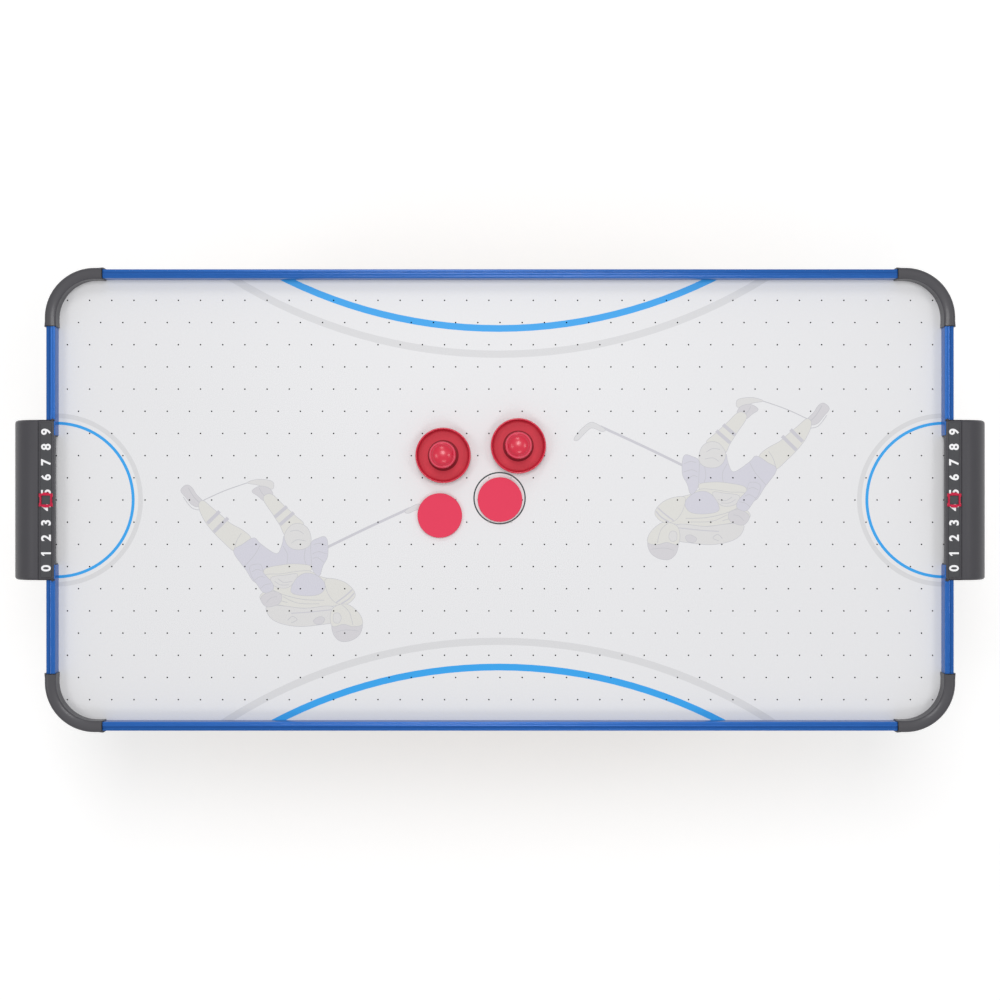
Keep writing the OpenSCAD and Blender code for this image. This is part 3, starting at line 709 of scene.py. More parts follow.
def lathe(shape: bmesh.types.BMesh, profile: Sequence[Point], centre: Point, steps: int = 96,
          closed: bool = False) -> None:
    """Adds a turned solid.

    Args:
        shape: the shape that takes it.
        profile: radius and height of each point; it starts and ends on the axis unless it is closed.
        centre: place of the axis.
        steps: number of flats round the axis.
        closed: whether the profile closes on itself away from the axis.
    """
    rings = []
    for radius, height in profile:
        if radius < 1e-6:
            rings.append([shape.verts.new((*centre, height))])
            continue
        turns = [2 * math.pi * step / steps for step in range(steps)]
        rings.append([shape.verts.new(polar(centre, radius, turn, height)) for turn in turns])
    faces = []
    pairs = zip(rings, rings[1:] + rings[:1] if closed else rings[1:])
    for lower, upper in pairs:
        if len(lower) > 1 and len(upper) > 1:
            faces += bridge(shape, lower, upper, closed=True)
            continue
        tip, ring = (lower[0], upper) if len(lower) == 1 else (upper[0], lower)
        faces += [shape.faces.new((tip, ring[i], ring[(i + 1) % steps])) for i in range(steps)]
    bmesh.ops.recalc_face_normals(shape, faces=faces)


def sweep(shape: bmesh.types.BMesh, rows: Sequence[Sequence[Vector]]) -> None:
    """Adds a solid that runs through rows of points, each a closed outline, with its two ends shut."""
    rings = [[shape.verts.new(point) for point in row] for row in rows]
    faces = [shape.faces.new(rings[0]), shape.faces.new(list(reversed(rings[-1])))]
    for first, second in zip(rings, rings[1:]):
        faces += bridge(shape, first, second, closed=True)
    bmesh.ops.recalc_face_normals(shape, faces=faces)


# ---------- playfield ----------


@dataclass(frozen=True)
class Mark:
    """A printed shape on the playfield: an outline, perhaps with a hole in it, in one ink."""

    outline: Outline
    ink: Ink
    hole: Outline = field(default_factory=list)

    def edges(self) -> Iterator[Outline]:
        """The closed lines that bound the mark."""
        yield self.outline
        if self.hole:
            yield self.hole

    def covers(self, point: Point) -> bool:
        """Says whether the mark covers a point."""
        return inside(point, self.outline) and not (self.hole and inside(point, self.hole))


def ring(centre: Point, radius: float, width: float, colour: Ink, steps: int = 96) -> Mark:
    """A printed ring of a given outer radius."""
    outer = arc(centre, radius, 0, 360, steps)[:-1]
    return Mark(outer, colour, arc(centre, radius - width, 0, 360, steps)[:-1])


def bands(start: Point, end: Point, radius: float, places: Sequence[float], width: float, colour: Ink
          ) -> list[Mark]:
    """Stripes across a stroke, at shares of its length."""
    run = Vector((end[0] - start[0], end[1] - start[1]))
    along, side = run.normalized() * width / 2, run.orthogonal().normalized() * radius
    marks = []
    for place in places:
        middle = Vector(start) + run * place
        corners = (middle - along - side, middle + along - side, middle + along + side, middle - along + side)
        marks.append(Mark([(corner.x, corner.y) for corner in corners], colour))
    return marks


def rounded(points: Sequence[Point], closed: bool = True, steps: int = 4) -> Outline:
    """Points along a smooth line through a few given ones.

    Args:
        points: the points that the line passes through.
        closed: whether it comes back to its start.
        steps: number of stretches between two of them.

    Returns:
        The points in order.
    """
    count, line = len(points), []
    for index in range(count if closed else count - 1):
        picks = [index - 1, index, index + 1, index + 2]
        if not closed:
            picks = [min(max(pick, 0), count - 1) for pick in picks]
        before, start, end, after = (Vector(points[pick % count]) for pick in picks)
        for step in range(steps):
            t = step / steps
            bend = 2 * before - 5 * start + 4 * end - after
            swing = 3 * start - before - 3 * end + after
            spot = 0.5 * (2 * start + (end - before) * t + bend * t ** 2 + swing * t ** 3)
            line.append((spot.x, spot.y))
    return line if closed else line + [points[-1]]


def grown(outline: Outline, amount: float) -> Outline:
    """Moves a closed outline outwards by an amount."""
    area = sum(x0 * y1 - x1 * y0 for (x0, y0), (x1, y1) in zip(outline, outline[1:] + outline[:1]))
    away, moved = math.copysign(amount, area), []
    for index, (x, y) in enumerate(outline):
        before, after = outline[index - 1], outline[(index + 1) % len(outline)]
        run = Vector((after[0] - before[0], after[1] - before[1])).normalized()
        moved.append((x + run.y * away, y - run.x * away))
    return moved


@dataclass
class Skater:
    """A plain printed figure of a skater with a stick, seen from the side, head down the table."""

    origin: Point
    mirrored: bool = False
    outline: float = 0.8

    def placed(self, mark: Mark) -> Mark:
        """Moves a mark from the figure's own frame to the playfield's."""
        flip = -1 if self.mirrored else 1
        points = [(self.origin[0] + flip * x, self.origin[1] + y) for x, y in mark.outline]
        return Mark(points, mark.ink)

    def part(self, colour: Ink, *points: Point) -> list[Mark]:
        """A smooth filled shape with a thin line round it."""
        shape = rounded(points)
        return [Mark(grown(shape, self.outline), Ink.LINE), Mark(shape, colour)]

    def line(self, width: float, *points: Point, colour: Ink = Ink.LINE) -> list[Mark]:
        """A thin smooth line."""
        middle = rounded(points, closed=False)
        sides = inset(middle, width / 2), inset(middle, -width / 2)
        return [Mark(sides[0] + list(reversed(sides[1])), colour)]

    def legs(self) -> list[Mark]:
        """Skates, socks and knees."""
        marks = self.line(1.5, (-117, 98), (-78, 116), (-38, 130))
        marks += self.line(1.2, (-146, 106), (-132, 88), (-118, 84))
        marks += self.part(Ink.MIST, (-150, 117), (-141, 126), (-132, 122), (-124, 110), (-114, 99),
                           (-120, 90), (-131, 93), (-141, 105))
        marks += self.line(1.2, (-138, 122), (-128, 106), (-117, 95))
        marks += self.part(Ink.CREAM, (-120, 91), (-113, 100), (-98, 88), (-79, 72), (-66, 61), (-46, 50),
                           (-32, 36), (-42, 20), (-60, 15), (-79, 31), (-96, 48), (-111, 68))
        marks += bands((-118, 95), (-66, 42), 14.5, (0.44,), 6, Ink.BAND)
        marks += bands((-118, 95), (-66, 42), 17, (0.68,), 6, Ink.BAND)
        marks += self.line(0.9, (-60, 17), (-56, 32), (-48, 45))
        marks += self.part(Ink.PALE, (-38, 130), (-24, 135), (-8, 135), (5, 131), (5, 120), (-6, 122),
                           (-22, 127))
        marks += self.part(Ink.MIST, (-30, 116), (-17, 124), (-2, 121), (5, 111), (0, 101), (-10, 100),
                           (-20, 108))
        marks += self.line(1.0, (-18, 121), (-12, 111), (-2, 103))
        marks += self.part(Ink.CREAM, (-11, 103), (2, 111), (23, 92), (44, 73), (57, 60), (44, 45), (26, 42),
                           (18, 57), (6, 76))
        marks += bands((-4, 107), (44, 52), 13.5, (0.47,), 6, Ink.BAND)
        marks += bands((-4, 107), (44, 52), 15.5, (0.68,), 6, Ink.BAND)
        return marks

    def shorts(self) -> list[Mark]:
        """Shorts with the near knee over them."""
        marks = self.part(Ink.LAVENDER, (-61, 14), (-46, 26), (-27, 37), (-16, 27), (11, 10), (21, 26),
                          (26, 42), (48, 34), (69, 22), (69, -8), (24, -13), (-8, -17), (-24, -38),
                          (-41, -15))
        marks += self.line(0.9, (-44, -12), (-26, 8), (-16, 26))
        marks += self.line(0.9, (22, 24), (30, 8), (28, -10))
        marks += self.line(0.9, (60, 20), (58, 4), (61, -8))
        marks += self.part(Ink.PALE, (25, 43), (36, 58), (50, 61), (63, 54), (69, 39), (67, 25), (54, 18),
                           (38, 19), (28, 28))
        marks += self.line(0.9, (34, 48), (46, 50), (57, 44))
        marks += self.line(0.9, (36, 28), (46, 34), (60, 32))
        marks += self.part(Ink.CREAM, (-8, -15), (18, -9), (42, -7), (68, -10), (66, -20), (42, -20),
                           (18, -24), (-7, -26))
        return marks

    def trunk(self) -> list[Mark]:
        """Jersey with its chest panel and folds."""
        marks = self.part(Ink.CREAM, (-8, -26), (18, -24), (44, -20), (67, -19), (84, -28), (104, -33),
                          (126, -42), (137, -58), (122, -74), (92, -79), (58, -81), (24, -77), (-10, -70),
                          (-16, -60), (0, -44))
        marks += self.part(Ink.PALE, (2, -30), (26, -26), (46, -24), (40, -38), (28, -47), (8, -44))
        marks += self.part(Ink.LAVENDER, (36, -54), (43, -34), (58, -23), (76, -25), (90, -36), (92, -48),
                           (82, -58), (58, -60))
        marks += self.line(1.0, (0, -48), (16, -56), (34, -62), (60, -67), (92, -68))
        marks += self.line(0.9, (8, -36), (18, -42), (32, -42))
        marks += self.line(0.9, (14, -32), (24, -38), (38, -36))
        marks += self.line(0.9, (22, -62), (48, -73), (84, -74))
        marks += self.line(0.9, (-4, -60), (10, -66), (30, -72))
        return marks

    def arms(self) -> list[Mark]:
        """Gloved near arm on the stick, shoulder, and the far arm along the trunk."""
        marks = self.part(Ink.LAVENDER, (70, 29), (81, 36), (92, 39), (97, 30), (97, 6), (89, -10),
                          (83, -27), (72, -16), (70, 6))
        marks += self.line(0.9, (74, 26), (84, 28), (95, 24))
        marks += self.line(0.9, (72, 10), (82, 14), (96, 10))
        marks += self.line(0.9, (72, 2), (80, 4), (91, -4))
        marks += self.part(Ink.PALE, (-5, -78), (24, -78), (58, -82), (102, -78), (113, -90), (109, -104),
                           (84, -109), (50, -112), (19, -107), (0, -96))
        marks += self.line(1.6, (36, -90), (66, -88), (104, -84), colour=Ink.BAND)
        marks += self.line(1.0, (30, -102), (38, -95), (46, -101), (36, -106))
        marks += self.part(Ink.MIST, (74, -102), (84, -96), (92, -99), (88, -107), (78, -108))
        marks += self.part(Ink.MIST, (-13, -61), (4, -53), (19, -59), (16, -73), (-4, -79), (-14, -70))
        marks += self.line(0.9, (-6, -72), (2, -64), (12, -62))
        marks += self.part(Ink.LAVENDER, (-33, -11), (-16, -8), (-11, -22), (3, -38), (5, -50), (-10, -55),
                           (-22, -40), (-31, -26))
        marks += self.line(0.9, (-30, -20), (-22, -16), (-14, -18))
        marks += self.line(0.9, (-26, -34), (-16, -28), (-8, -30))
        marks += self.line(0.9, (-16, -48), (-8, -42), (2, -40))
        marks += self.part(Ink.CREAM, (93, -34), (107, -32), (126, -38), (140, -50), (143, -62), (130, -74),
                           (111, -72), (98, -56))
        marks += self.line(2.2, (112, -72), (128, -60), (139, -50), colour=Ink.BAND)
        marks += self.line(2.2, (120, -74), (133, -66), (142, -56), colour=Ink.BAND)
        return marks

    def head(self) -> list[Mark]:
        """Helmet with an ear guard over a plain dark visor."""
        marks = self.part(Ink.MIST, (106, -108), (128, -104), (154, -106), (152, -124), (138, -135),
                          (120, -137), (108, -126))
        marks += self.part(Ink.CREAM, (108, -80), (130, -75), (150, -90), (156, -108), (140, -112),
                           (124, -108), (106, -112), (102, -96))
        marks += self.line(0.9, (122, -76), (134, -88), (140, -110))
        marks += self.part(Ink.PALE, (108, -92), (116, -90), (120, -98), (116, -106), (108, -104))
        marks += self.line(0.9, (112, -122), (128, -118), (150, -120))
        return marks

    def stick(self) -> list[Mark]:
        """Hockey stick with its bent blade."""
        marks = self.line(4.4, (88, 17), (160, 52), (236, 87), colour=Ink.BAND)
        marks += self.part(Ink.GREY, (228, 82), (244, 92), (254, 93), (268, 82), (280, 66), (274, 64),
                           (262, 76), (250, 85), (234, 79))
        return marks

    def marks(self) -> list[Mark]:
        """Every mark of the figure, the lowest first."""
        groups = (self.stick(), self.legs(), self.shorts(), self.trunk(), self.arms(), self.head())
        return [self.placed(mark) for group in groups for mark in group]


@dataclass
class Playfield:
    """White printed board with its staggered air holes."""

    bench: Bench
    hole_pitch: float = 37.4
    hole_radius: float = 1.0
    hole_sides: int = 12
    rows: int = 9
    corner_radius: float = 67.4
    tongue: float = 108.4
    tongue_reach: float = 12.0
    goal_half: float = 106.5
    crease: Point = (748.0, 0.0)
    side_near: float = 279.7
    side_radius: float = 820.0
    grey_near: float = 235.9
    grey_radius: float = 858.0
    print_shift: Point = (-2.5, 3.8)
    hole_mouth: float = 1.3

    def outline(self) -> Outline:
        """Edge of the board, with a tongue into each goal."""
        box = self.bench.box("playfield")
        half_x, half_y = box.hi.x - self.tongue_reach, box.hi.y
        quarter = [(box.hi.x, self.tongue), (half_x, self.tongue)]
        bend = self.corner_radius
        quarter += arc((half_x - bend, half_y - bend), bend, 0, 90, 12)
        left = [(-x, y) for x, y in reversed(quarter)]
        upper = quarter + left
        return upper + [(x, -y) for x, y in reversed(upper)]

    def holes(self) -> list[Point]:
        """Middles of the air holes."""
        places = []
        for row in range(-self.rows, self.rows + 1):
            open_row = abs(row) * self.hole_pitch < self.goal_half
            last = 39 if row % 2 else 40 if open_row else 38
            step = self.hole_pitch / 2
            places += [(index * step, row * self.hole_pitch) for index in range(-last, last + 1, 2)]
        return places

    def lines(self) -> list[Mark]:
        """Creases, side arcs and the centre spot."""
        marks = []
        for side in (-1, 1):
            x, y = self.print_shift
            marks.append(ring((x, y + side * (self.grey_near + self.grey_radius)), self.grey_radius, 12.2,
                              Ink.GREY, 180))
            marks.append(ring((x, y + side * (self.side_near + self.side_radius)), self.side_radius, 11.4,
                              Ink.BLUE, 180))
            goal = (side * self.crease[0], self.crease[1])
            marks.append(ring(goal, 146, 7.8, Ink.GREY))
            marks.append(ring(goal, 132, 5, Ink.BLUE))
        marks.append(ring((-0.7, 3.1), 44.3, 2.4, Ink.DARK))
        return marks

    def pattern(self) -> tuple[list[Mark], Any]:
        """Cuts the board's face along its edge, its holes and its prints.

        Returns:
            The marks in painting order, and the triangulation.
        """
        marks = self.lines()
        marks += Skater((-388, -101)).marks()
        marks += Skater((405, 37), mirrored=True).marks()
        loops = [self.outline()]
        loops += [arc(hole, self.hole_mouth, 0, 360, self.hole_sides)[:-1] for hole in self.holes()]
        loops += [edge for mark in marks for edge in mark.edges()]
        points, edges = [], []
        for loop in loops:
            first = len(points)
            points += [Vector(point) for point in loop]
            edges += [(first + i, first + (i + 1) % len(loop)) for i in range(len(loop))]
        return marks, geometry.delaunay_2d_cdt(points, edges, [], 0, 1e-5)

    def near_hole(self, point: Point) -> Vector | None:
        """Gives the middle of the air hole whose mouth holds a point, if there is one."""
        row = round(point[1] / self.hole_pitch)
        step = self.hole_pitch / 2
        shift = row % 2
        index = 2 * round((point[0] / step - shift) / 2) + shift
        last = 39 if row % 2 else 40 if abs(row) * self.hole_pitch < self.goal_half else 38
        if abs(row) > self.rows or abs(index) > last:
            return None
        middle = Vector((index * step, row * self.hole_pitch))
        return middle if (Vector(point) - middle).length < self.hole_mouth + 0.01 else None

    def build(self) -> None:
        """Makes the board from its pattern, with an under face and walls, the air holes' walls in near-black
        painted shade.
        """
        marks, (points, _, triangles, *_) = self.pattern()
        outline, box = self.outline(), self.bench.box("playfield")
        inks = list(Ink)
        boxes = [(min(x for x, _ in m.outline), max(x for x, _ in m.outline), min(y for _, y in m.outline),
                  max(y for _, y in m.outline), m) for m in marks]
        shape = bmesh.new()
        top = [shape.verts.new((point.x, point.y, box.hi.z)) for point in points]
        low = []
        for point in points:
            hole = self.near_hole(point)
            spot = point if hole is None else hole + (point - hole) * (self.hole_radius / self.hole_mouth)
            low.append(shape.verts.new((spot.x, spot.y, box.lo.z)))
        for triangle in triangles:
            middle = sum((points[i] for i in triangle), Vector((0, 0))) / 3
            spot = (middle.x, middle.y)
            if self.near_hole(spot) is not None or not inside(spot, outline):
                continue
            painted = [m for x0, x1, y0, y1, m in boxes
                       if x0 <= spot[0] <= x1 and y0 <= spot[1] <= y1 and m.covers(spot)]
            face = shape.faces.new([top[i] for i in triangle])
            face.material_index = inks.index(painted[-1].ink) if painted else 0
            shape.faces.new([low[i] for i in reversed(triangle)]).material_index = len(inks)
        shape.verts.index_update()
        count = len(points)
        rims = [edge for edge in shape.edges if edge.is_boundary and edge.verts[0].index < count]
        for edge in rims:
            loop = edge.link_loops[0]
            first, second = loop.vert.index, loop.link_loop_next.vert.index
            wall = shape.faces.new((top[second], top[first], low[first], low[second]))
            bore = self.near_hole((top[first].co.x, top[first].co.y)) is not None
            # Air holes' walls take the near-black painted shade; the board's outer edge takes the bare board.
            wall.material_index = inks.index(Ink.BORE) if bore else len(inks)
        bmesh.ops.delete(shape, geom=[v for v in shape.verts if not v.link_faces], context="VERTS")
        finishes = [colour.value for colour in inks] + [Finishes.board]
        piece = to_piece(shape, "playfield_board", finishes)
        self.bench.mount(piece, "playfield")


# ---------- rails and corners ----------


@dataclass
class Rails:
    """Six anodised rail pieces with a grooved crown."""

    bench: Bench
    width: float = 15.0
    height: float = 26.0
    drop: float = 12.0
    wall: float = 1.6
    rise: float = 2.0

    def section(self) -> Outline:
        """Section from the outer face at 0 inwards, with the play surface at 0."""
        edge, width, middle = self.height - self.rise, self.width, self.width / 2
        slope = self.rise / (middle - 1.2)
        points = [(0.0, -self.drop)] + arc((1.2, edge - 1.2), 1.2, 180, 100, 4)
        for share in (0.22, 0.36):
            points += self.cut(share * width, edge + slope * (share * width - 1.2), 0.35, 0.3)
        points += [(middle - 1.1, self.height - 0.3), (middle - 0.7, self.height - 1.5)]
        points += [(middle - 0.1, self.height - 1.5), (middle + 0.1, self.height - 0.1)]
        points += [(middle + 0.9, self.height), (middle + 1.2, self.height - 0.6)]
        for share in (0.68, 0.82):
            points += self.cut(share * width, edge + slope * (width - 1.2 - share * width) - 0.1, 0.35, 0.3)
        points += arc((width - 1.2, edge - 1.2), 1.2, 80, 0, 4)
        points += [(width, 0.0), (width - self.wall, 0.0), (width - self.wall, edge - 2 * self.wall)]
        return points + [(self.wall, edge - 2 * self.wall), (self.wall, -self.drop)]

    def cut(self, across: float, level: float, half: float, deep: float) -> Outline:
        """A fine groove in the rail's top."""
        return [(across - half, level), (across - half * 0.5, level - deep),
                (across + half * 0.5, level - deep), (across + half, level)]

    def build(self) -> None:
        """Makes every rail from its own box."""
        floor = self.bench.box("playfield").hi.z
        for node in ("rail_front", "rail_back"):
            box = self.bench.box(node)
            inward = 1 if box.centre.y < 0 else -1
            outer = box.lo.y if inward > 0 else box.hi.y
            shape = bmesh.new()
            prism(shape, self.section(), lambda u, v, w: Vector((w, outer + inward * u, floor + v)),
                  box.lo.x, box.hi.x)
            self.bench.mount(to_piece(shape, f"{node}_extrusion", [Finishes.rail], bend=24), node)
        for side in ("left", "right"):
            for half in ("front", "back"):
                node = f"rail_{side}_{half}"
                box = self.bench.box(node)
                inward = 1 if box.centre.x < 0 else -1
                outer = box.lo.x if inward > 0 else box.hi.x
                shape = bmesh.new()
                prism(shape, self.section(), lambda u, v, w: Vector((outer + inward * u, w, floor + v)),
                      box.lo.y, box.hi.y)
                self.bench.mount(to_piece(shape, f"{node}_extrusion", [Finishes.end_rail], bend=24), node)


@dataclass
class CornerCaps:
    """Four charcoal corner caps that sleeve over the rail ends."""

    bench: Bench
    radius: float = 84.0
    inner: float = 64.0
    lip: float = 1.9
    skirt: float = 2.9
    sleeve_long: float = 14.5
    sleeve_short: float = 15.5
    set_back: float = 3.0
    hollow: float = 1.2

    def section(self, top: float, floor: float, bottom: float, swell: float) -> Outline:
        """Section of the cap at one place along its sweep.

        Args:
            top: height of its top.
            floor: height of the play surface.
            bottom: height of its skirt's lower edge.
            swell: share of the full size that the rolled edge has, from 0 to 1.

        Returns:
            The closed outline, as distance from the corner's middle and height.
        """
        inner, outer = self.inner + 0.5 * (1 - swell), self.radius - 0.6 * (1 - swell)
        middle = (inner + outer) / 2
        half = (outer - inner) / 2
        points = [(inner, floor + 0.05)]
        points += arc((inner + 4.5, top - 4.2), (4.5, 4.2 - self.hollow), 180, 108, 5)
        points += [(middle - half * 0.28, top - self.hollow * 0.35), (middle + half * 0.12, top)]
        points += arc((outer - 6.5, top - 5.0), (6.5, 5.0), 78, 0, 7)
        points += [(outer, bottom + 1.2), (outer - 0.8, bottom), (self.radius - self.skirt, bottom)]
        points += [(self.radius - self.skirt, top - 1.9), (self.inner + self.lip, top - 1.9)]
        return points + [(self.inner + self.lip, floor + 0.05)]

    def stations(self) -> list[tuple[Vector, Vector, float]]:
        """Shift, direction and swell of each section along the cap."""
        stations = []
        for away in (self.sleeve_long, self.sleeve_long - 1.0, self.sleeve_long - 2.5, 6.0, 0.0):
            swell = 1.0 if away > self.sleeve_long - 2.6 else 0.0
            stations.append((Vector((-away, 0)), Vector((0, 1)), swell))
        for step in range(1, 24):
            turn = math.radians(90 - 90 * step / 24)
            stations.append((Vector((0, 0)), Vector((math.cos(turn), math.sin(turn))), 0.0))
        for away in (0.0, 6.0, self.sleeve_short - 2.5, self.sleeve_short - 1.0, self.sleeve_short):
            swell = 1.0 if away > self.sleeve_short - 2.6 else 0.0
            stations.append((Vector((0, -away)), Vector((1, 0)), swell))
        return stations

    def lean(self, index: int, last: int, height: float, top: float) -> float:
        """How far back a point of an end section stands, so that the side walls reach past the top."""
        if index not in (0, last):
            return 0.0
        return self.set_back * max(0.0, min(1.0, (height - top + 5.0) / 4.0))

    def build(self) -> None:
        """Sweeps each cap round its corner."""
        floor = self.bench.box("playfield").hi.z
        for corner, (x, y) in CORNERS.items():
            node = f"corner_{corner}"
            box = self.bench.box(node)
            middle = Vector((max(abs(box.lo.x), abs(box.hi.x)) - self.radius,
                             max(abs(box.lo.y), abs(box.hi.y)) - self.radius))
            rows, stations = [], self.stations()
            for index, (shift, heading, swell) in enumerate(stations):
                row = []
                for away, height in self.section(box.hi.z, floor, box.lo.z, swell):
                    back = self.lean(index, len(stations) - 1, height, box.hi.z)
                    spot = middle + shift * (1 - back / shift.length if back else 1) + heading * away
                    row.append(Vector((x * spot.x, y * spot.y, height)))
                rows.append(row)
            shape = bmesh.new()
            sweep(shape, rows)
            self.bench.mount(to_piece(shape, f"{node}_cap", [Finishes.cap], 0.5, 2, 50), node)


# ---------- goals ----------


@dataclass
class GoalEnd:
    """One goal: hood, tray, score strip with digits, and the sliding marker."""

    bench: Bench
    side: int
    wall: float = 2.5
    corner: float = 5.0
    deck: float = 791.0
    cheek: float = 760.2
    strip_centre: float = 757.4
    ridge: float = 777.0
    digit_pitch: float = 25.3
    digit_height: float = 16.4
    marker_half: Point = (11.5, 12.5)
    marker_window: float = 7.4

    @property
    def name(self) -> str:
        """Which end of the table this goal is at."""
        return "left" if self.side == LEFT else "right"

    def spot(self, x: float, y: float, z: float) -> Vector:
        """Puts a point of the right hand goal at this goal's end."""
        return Vector((self.side * x, y, z))

    def profile(self, box: Box) -> Outline:
        """Hood's outer line from the mouth over the deck and ridge down to its lower edge."""
        mouth = min(abs(box.lo.x), abs(box.hi.x))
        far = max(abs(box.lo.x), abs(box.hi.x))
        step = self.strip_centre + 12.4
        line = [(mouth, self.deck - 2.8)] + arc((mouth + 1, self.deck - 1), 1, 180, 90, 3)
        line += [(step, self.deck), (step + 0.5, self.deck + 0.4), (step + 1.2, box.hi.z - 0.4)]
        line += arc((self.ridge, box.lo.z), (far - self.ridge, box.hi.z - box.lo.z), 90, 0, 24)
        return line

    def hood(self) -> None:
        """Makes the hood's shell with rounded cheeks, its lip and the mouth's frame."""
        node = f"goal_hood_{self.name}"
        box = self.bench.box(node)
        half = box.hi.y
        line = self.profile(box)
        shape = bmesh.new()
        rounding = [(half - self.corner + self.corner * math.sin(math.radians(turn)),
                     self.corner * (1 - math.cos(math.radians(turn)))) for turn in range(0, 91, 15)]
        stations = [(-y, depth) for y, depth in reversed(rounding)] + rounding
        rows = []
        for y, depth in stations:
            rows.append([shape.verts.new(self.spot(u, y, v)) for u, v in inset(line, depth)])
        faces = []
        for first, second in zip(rows, rows[1:]):
            faces += bridge(shape, first, second, closed=False)
        for row, y in ((rows[0], -half), (rows[-1], half)):
            heel = [shape.verts.new(self.spot(self.cheek, y, z)) for z in (box.lo.z, self.deck - 2.8)]
            faces.append(shape.faces.new([*row, *heel]))
        bmesh.ops.recalc_face_normals(shape, faces=faces)
        shell = to_piece(shape, "hood_shell", [Finishes.goal])
        thick = shell.modifiers.new("wall", "SOLIDIFY")
        thick.thickness = self.wall * MM
        thick.offset = -1
        thick.use_even_offset = False
        freeze(shell)
        shape = bmesh.new()
        shape.from_mesh(shell.data)
        bmesh.ops.scale(shape, vec=(1 / MM,) * 3, verts=shape.verts)
        bpy.data.objects.remove(shell)
        self.mouth(shape, box)
        self.bench.mount(to_piece(shape, f"{node}_shell", [Finishes.goal], bend=30), node)

    def mouth(self, shape: bmesh.types.BMesh, box: Box) -> None:
        """Adds the lip over the goal mouth and the frame at each side of it."""
        floor = self.bench.box("playfield").hi.z
        near = min(abs(box.lo.x), abs(box.hi.x)) + 0.1
        edges = sorted((self.side * near, self.side * (near + 2.7)))
        slab(shape, (edges[0], -106.5, floor + 14), (edges[1], 106.5, self.deck - 1.2))
        edges = sorted((self.side * near, self.side * (near + 15.8)))
        for y in (-108.3, 106.5):
            slab(shape, (edges[0], y, floor + 0.1), (edges[1], y + 1.8, self.deck - 1.2))

    def one(self, shape: bmesh.types.BMesh, level: float) -> None:
        """Adds the digit one, drawn with a flag."""
        half = self.digit_height / 2
        outline = [(1.3, -half), (1.3, half), (-1.0, half), (-4.4, half - 3.2), (-4.4, half - 6.2),
                   (-1.8, half - 4.1), (-1.8, -half)]
        place = Vector((self.side * self.strip_centre, -3.5 * self.digit_pitch, level))
        prism(shape, outline, lambda u, v, w: place + Vector((-v, u, w)), -0.06, 0.06)

    def digits(self) -> None:
        """Prints the digits 0 to 9 along the score strip."""
        strip = self.bench.box(f"score_strip_{self.name}")
        shape = bmesh.new()
        for value in range(10):
            if value == 1:
                self.one(shape, strip.hi.z - 0.02)
                continue
            curve = bpy.data.curves.new(f"digit_{value}", "FONT")
            curve.body = str(value)
            curve.align_x, curve.align_y = "CENTER", "CENTER"
            curve.size = 22.5
            curve.offset = 0.62
            curve.extrude = 0.06
            curve.resolution_u = 4
            holder = bpy.data.objects.new("digit", curve)
            bpy.context.scene.collection.objects.link(holder)
            graph = bpy.context.evaluated_depsgraph_get()
            mesh = bpy.data.meshes.new_from_object(holder.evaluated_get(graph))
            xs = [vertex.co.x for vertex in mesh.vertices]
            ys = [vertex.co.y for vertex in mesh.vertices]
            scale = self.digit_height / (max(ys) - min(ys))
            middle = Vector(((max(xs) + min(xs)) / 2, (max(ys) + min(ys)) / 2, 0))
            along = (value - 4.5) * self.digit_pitch
            place = Vector((self.side * self.strip_centre, along, strip.hi.z - 0.02))
            turn = Matrix.Translation(place) @ Matrix.Rotation(math.radians(90), 4, "Z")
            mesh.transform(turn @ Matrix.Diagonal((scale, scale, 1, 1)) @ Matrix.Translation(-middle))
            shape.from_mesh(mesh)
            bpy.data.objects.remove(holder)
            bpy.data.meshes.remove(mesh)
        bmesh.ops.remove_doubles(shape, verts=shape.verts, dist=0.001)
        piece = to_piece(shape, f"score_digits_{self.name}", [Finishes.digit], bend=60)
        self.bench.mount(piece, like=f"score_strip_{self.name}")

    def marker(self) -> None:
        """Makes the clear red slider: a square frame with a lug at each corner."""
        node = f"score_marker_{self.name}"
        box = self.bench.box(node)
        low, high, wide, window = box.lo.z, box.hi.z, self.marker_half, self.marker_window
        shape = bmesh.new()
        lugs = [(0, wide[1]), (-4.5, wide[1]), (-5.5, wide[1] - 1.6), (-wide[0], wide[1] - 1.6)]
        corner = [(x, y) for x, y in lugs] + [(-wide[0], 5.5), (-wide[0] + 1.4, 4.5), (-wide[0] + 1.4, 0)]
        half = corner + [(x, -y) for x, y in reversed(corner[:-1])]
        outline = half + [(-x, y) for x, y in reversed(half[1:-1])]
        inner = [(-window, window), (-window, -window), (window, -window), (window, window)]
        loops = [[Vector(point) for point in outline], [Vector(point) for point in inner]]
        points = [point for loop in loops for point in loop]
        first = len(outline)
        edges = [(i, (i + 1) % first) for i in range(first)]
        edges += [(first + i, first + (i + 1) % 4) for i in range(4)]
        flat, _, triangles, *_ = geometry.delaunay_2d_cdt(points, edges, [], 0, 1e-5)
        top = [shape.verts.new((box.centre.x + p.x, box.centre.y + p.y, high)) for p in flat]
        base = [shape.verts.new((box.centre.x + p.x, box.centre.y + p.y, low)) for p in flat]
        for triangle in triangles:
            middle = sum((flat[i] for i in triangle), Vector((0, 0))) / 3
            if inside(middle, outline) and not inside(middle, inner):
                shape.faces.new([top[i] for i in triangle])
                shape.faces.new([base[i] for i in reversed(triangle)])
        shape.verts.index_update()
        for edge in [e for e in shape.edges if e.is_boundary and e.verts[0].index < len(flat)]:
            loop = edge.link_loops[0]
            start, end = loop.vert.index, loop.link_loop_next.vert.index
            shape.faces.new((top[end], top[start], base[start], base[end]))
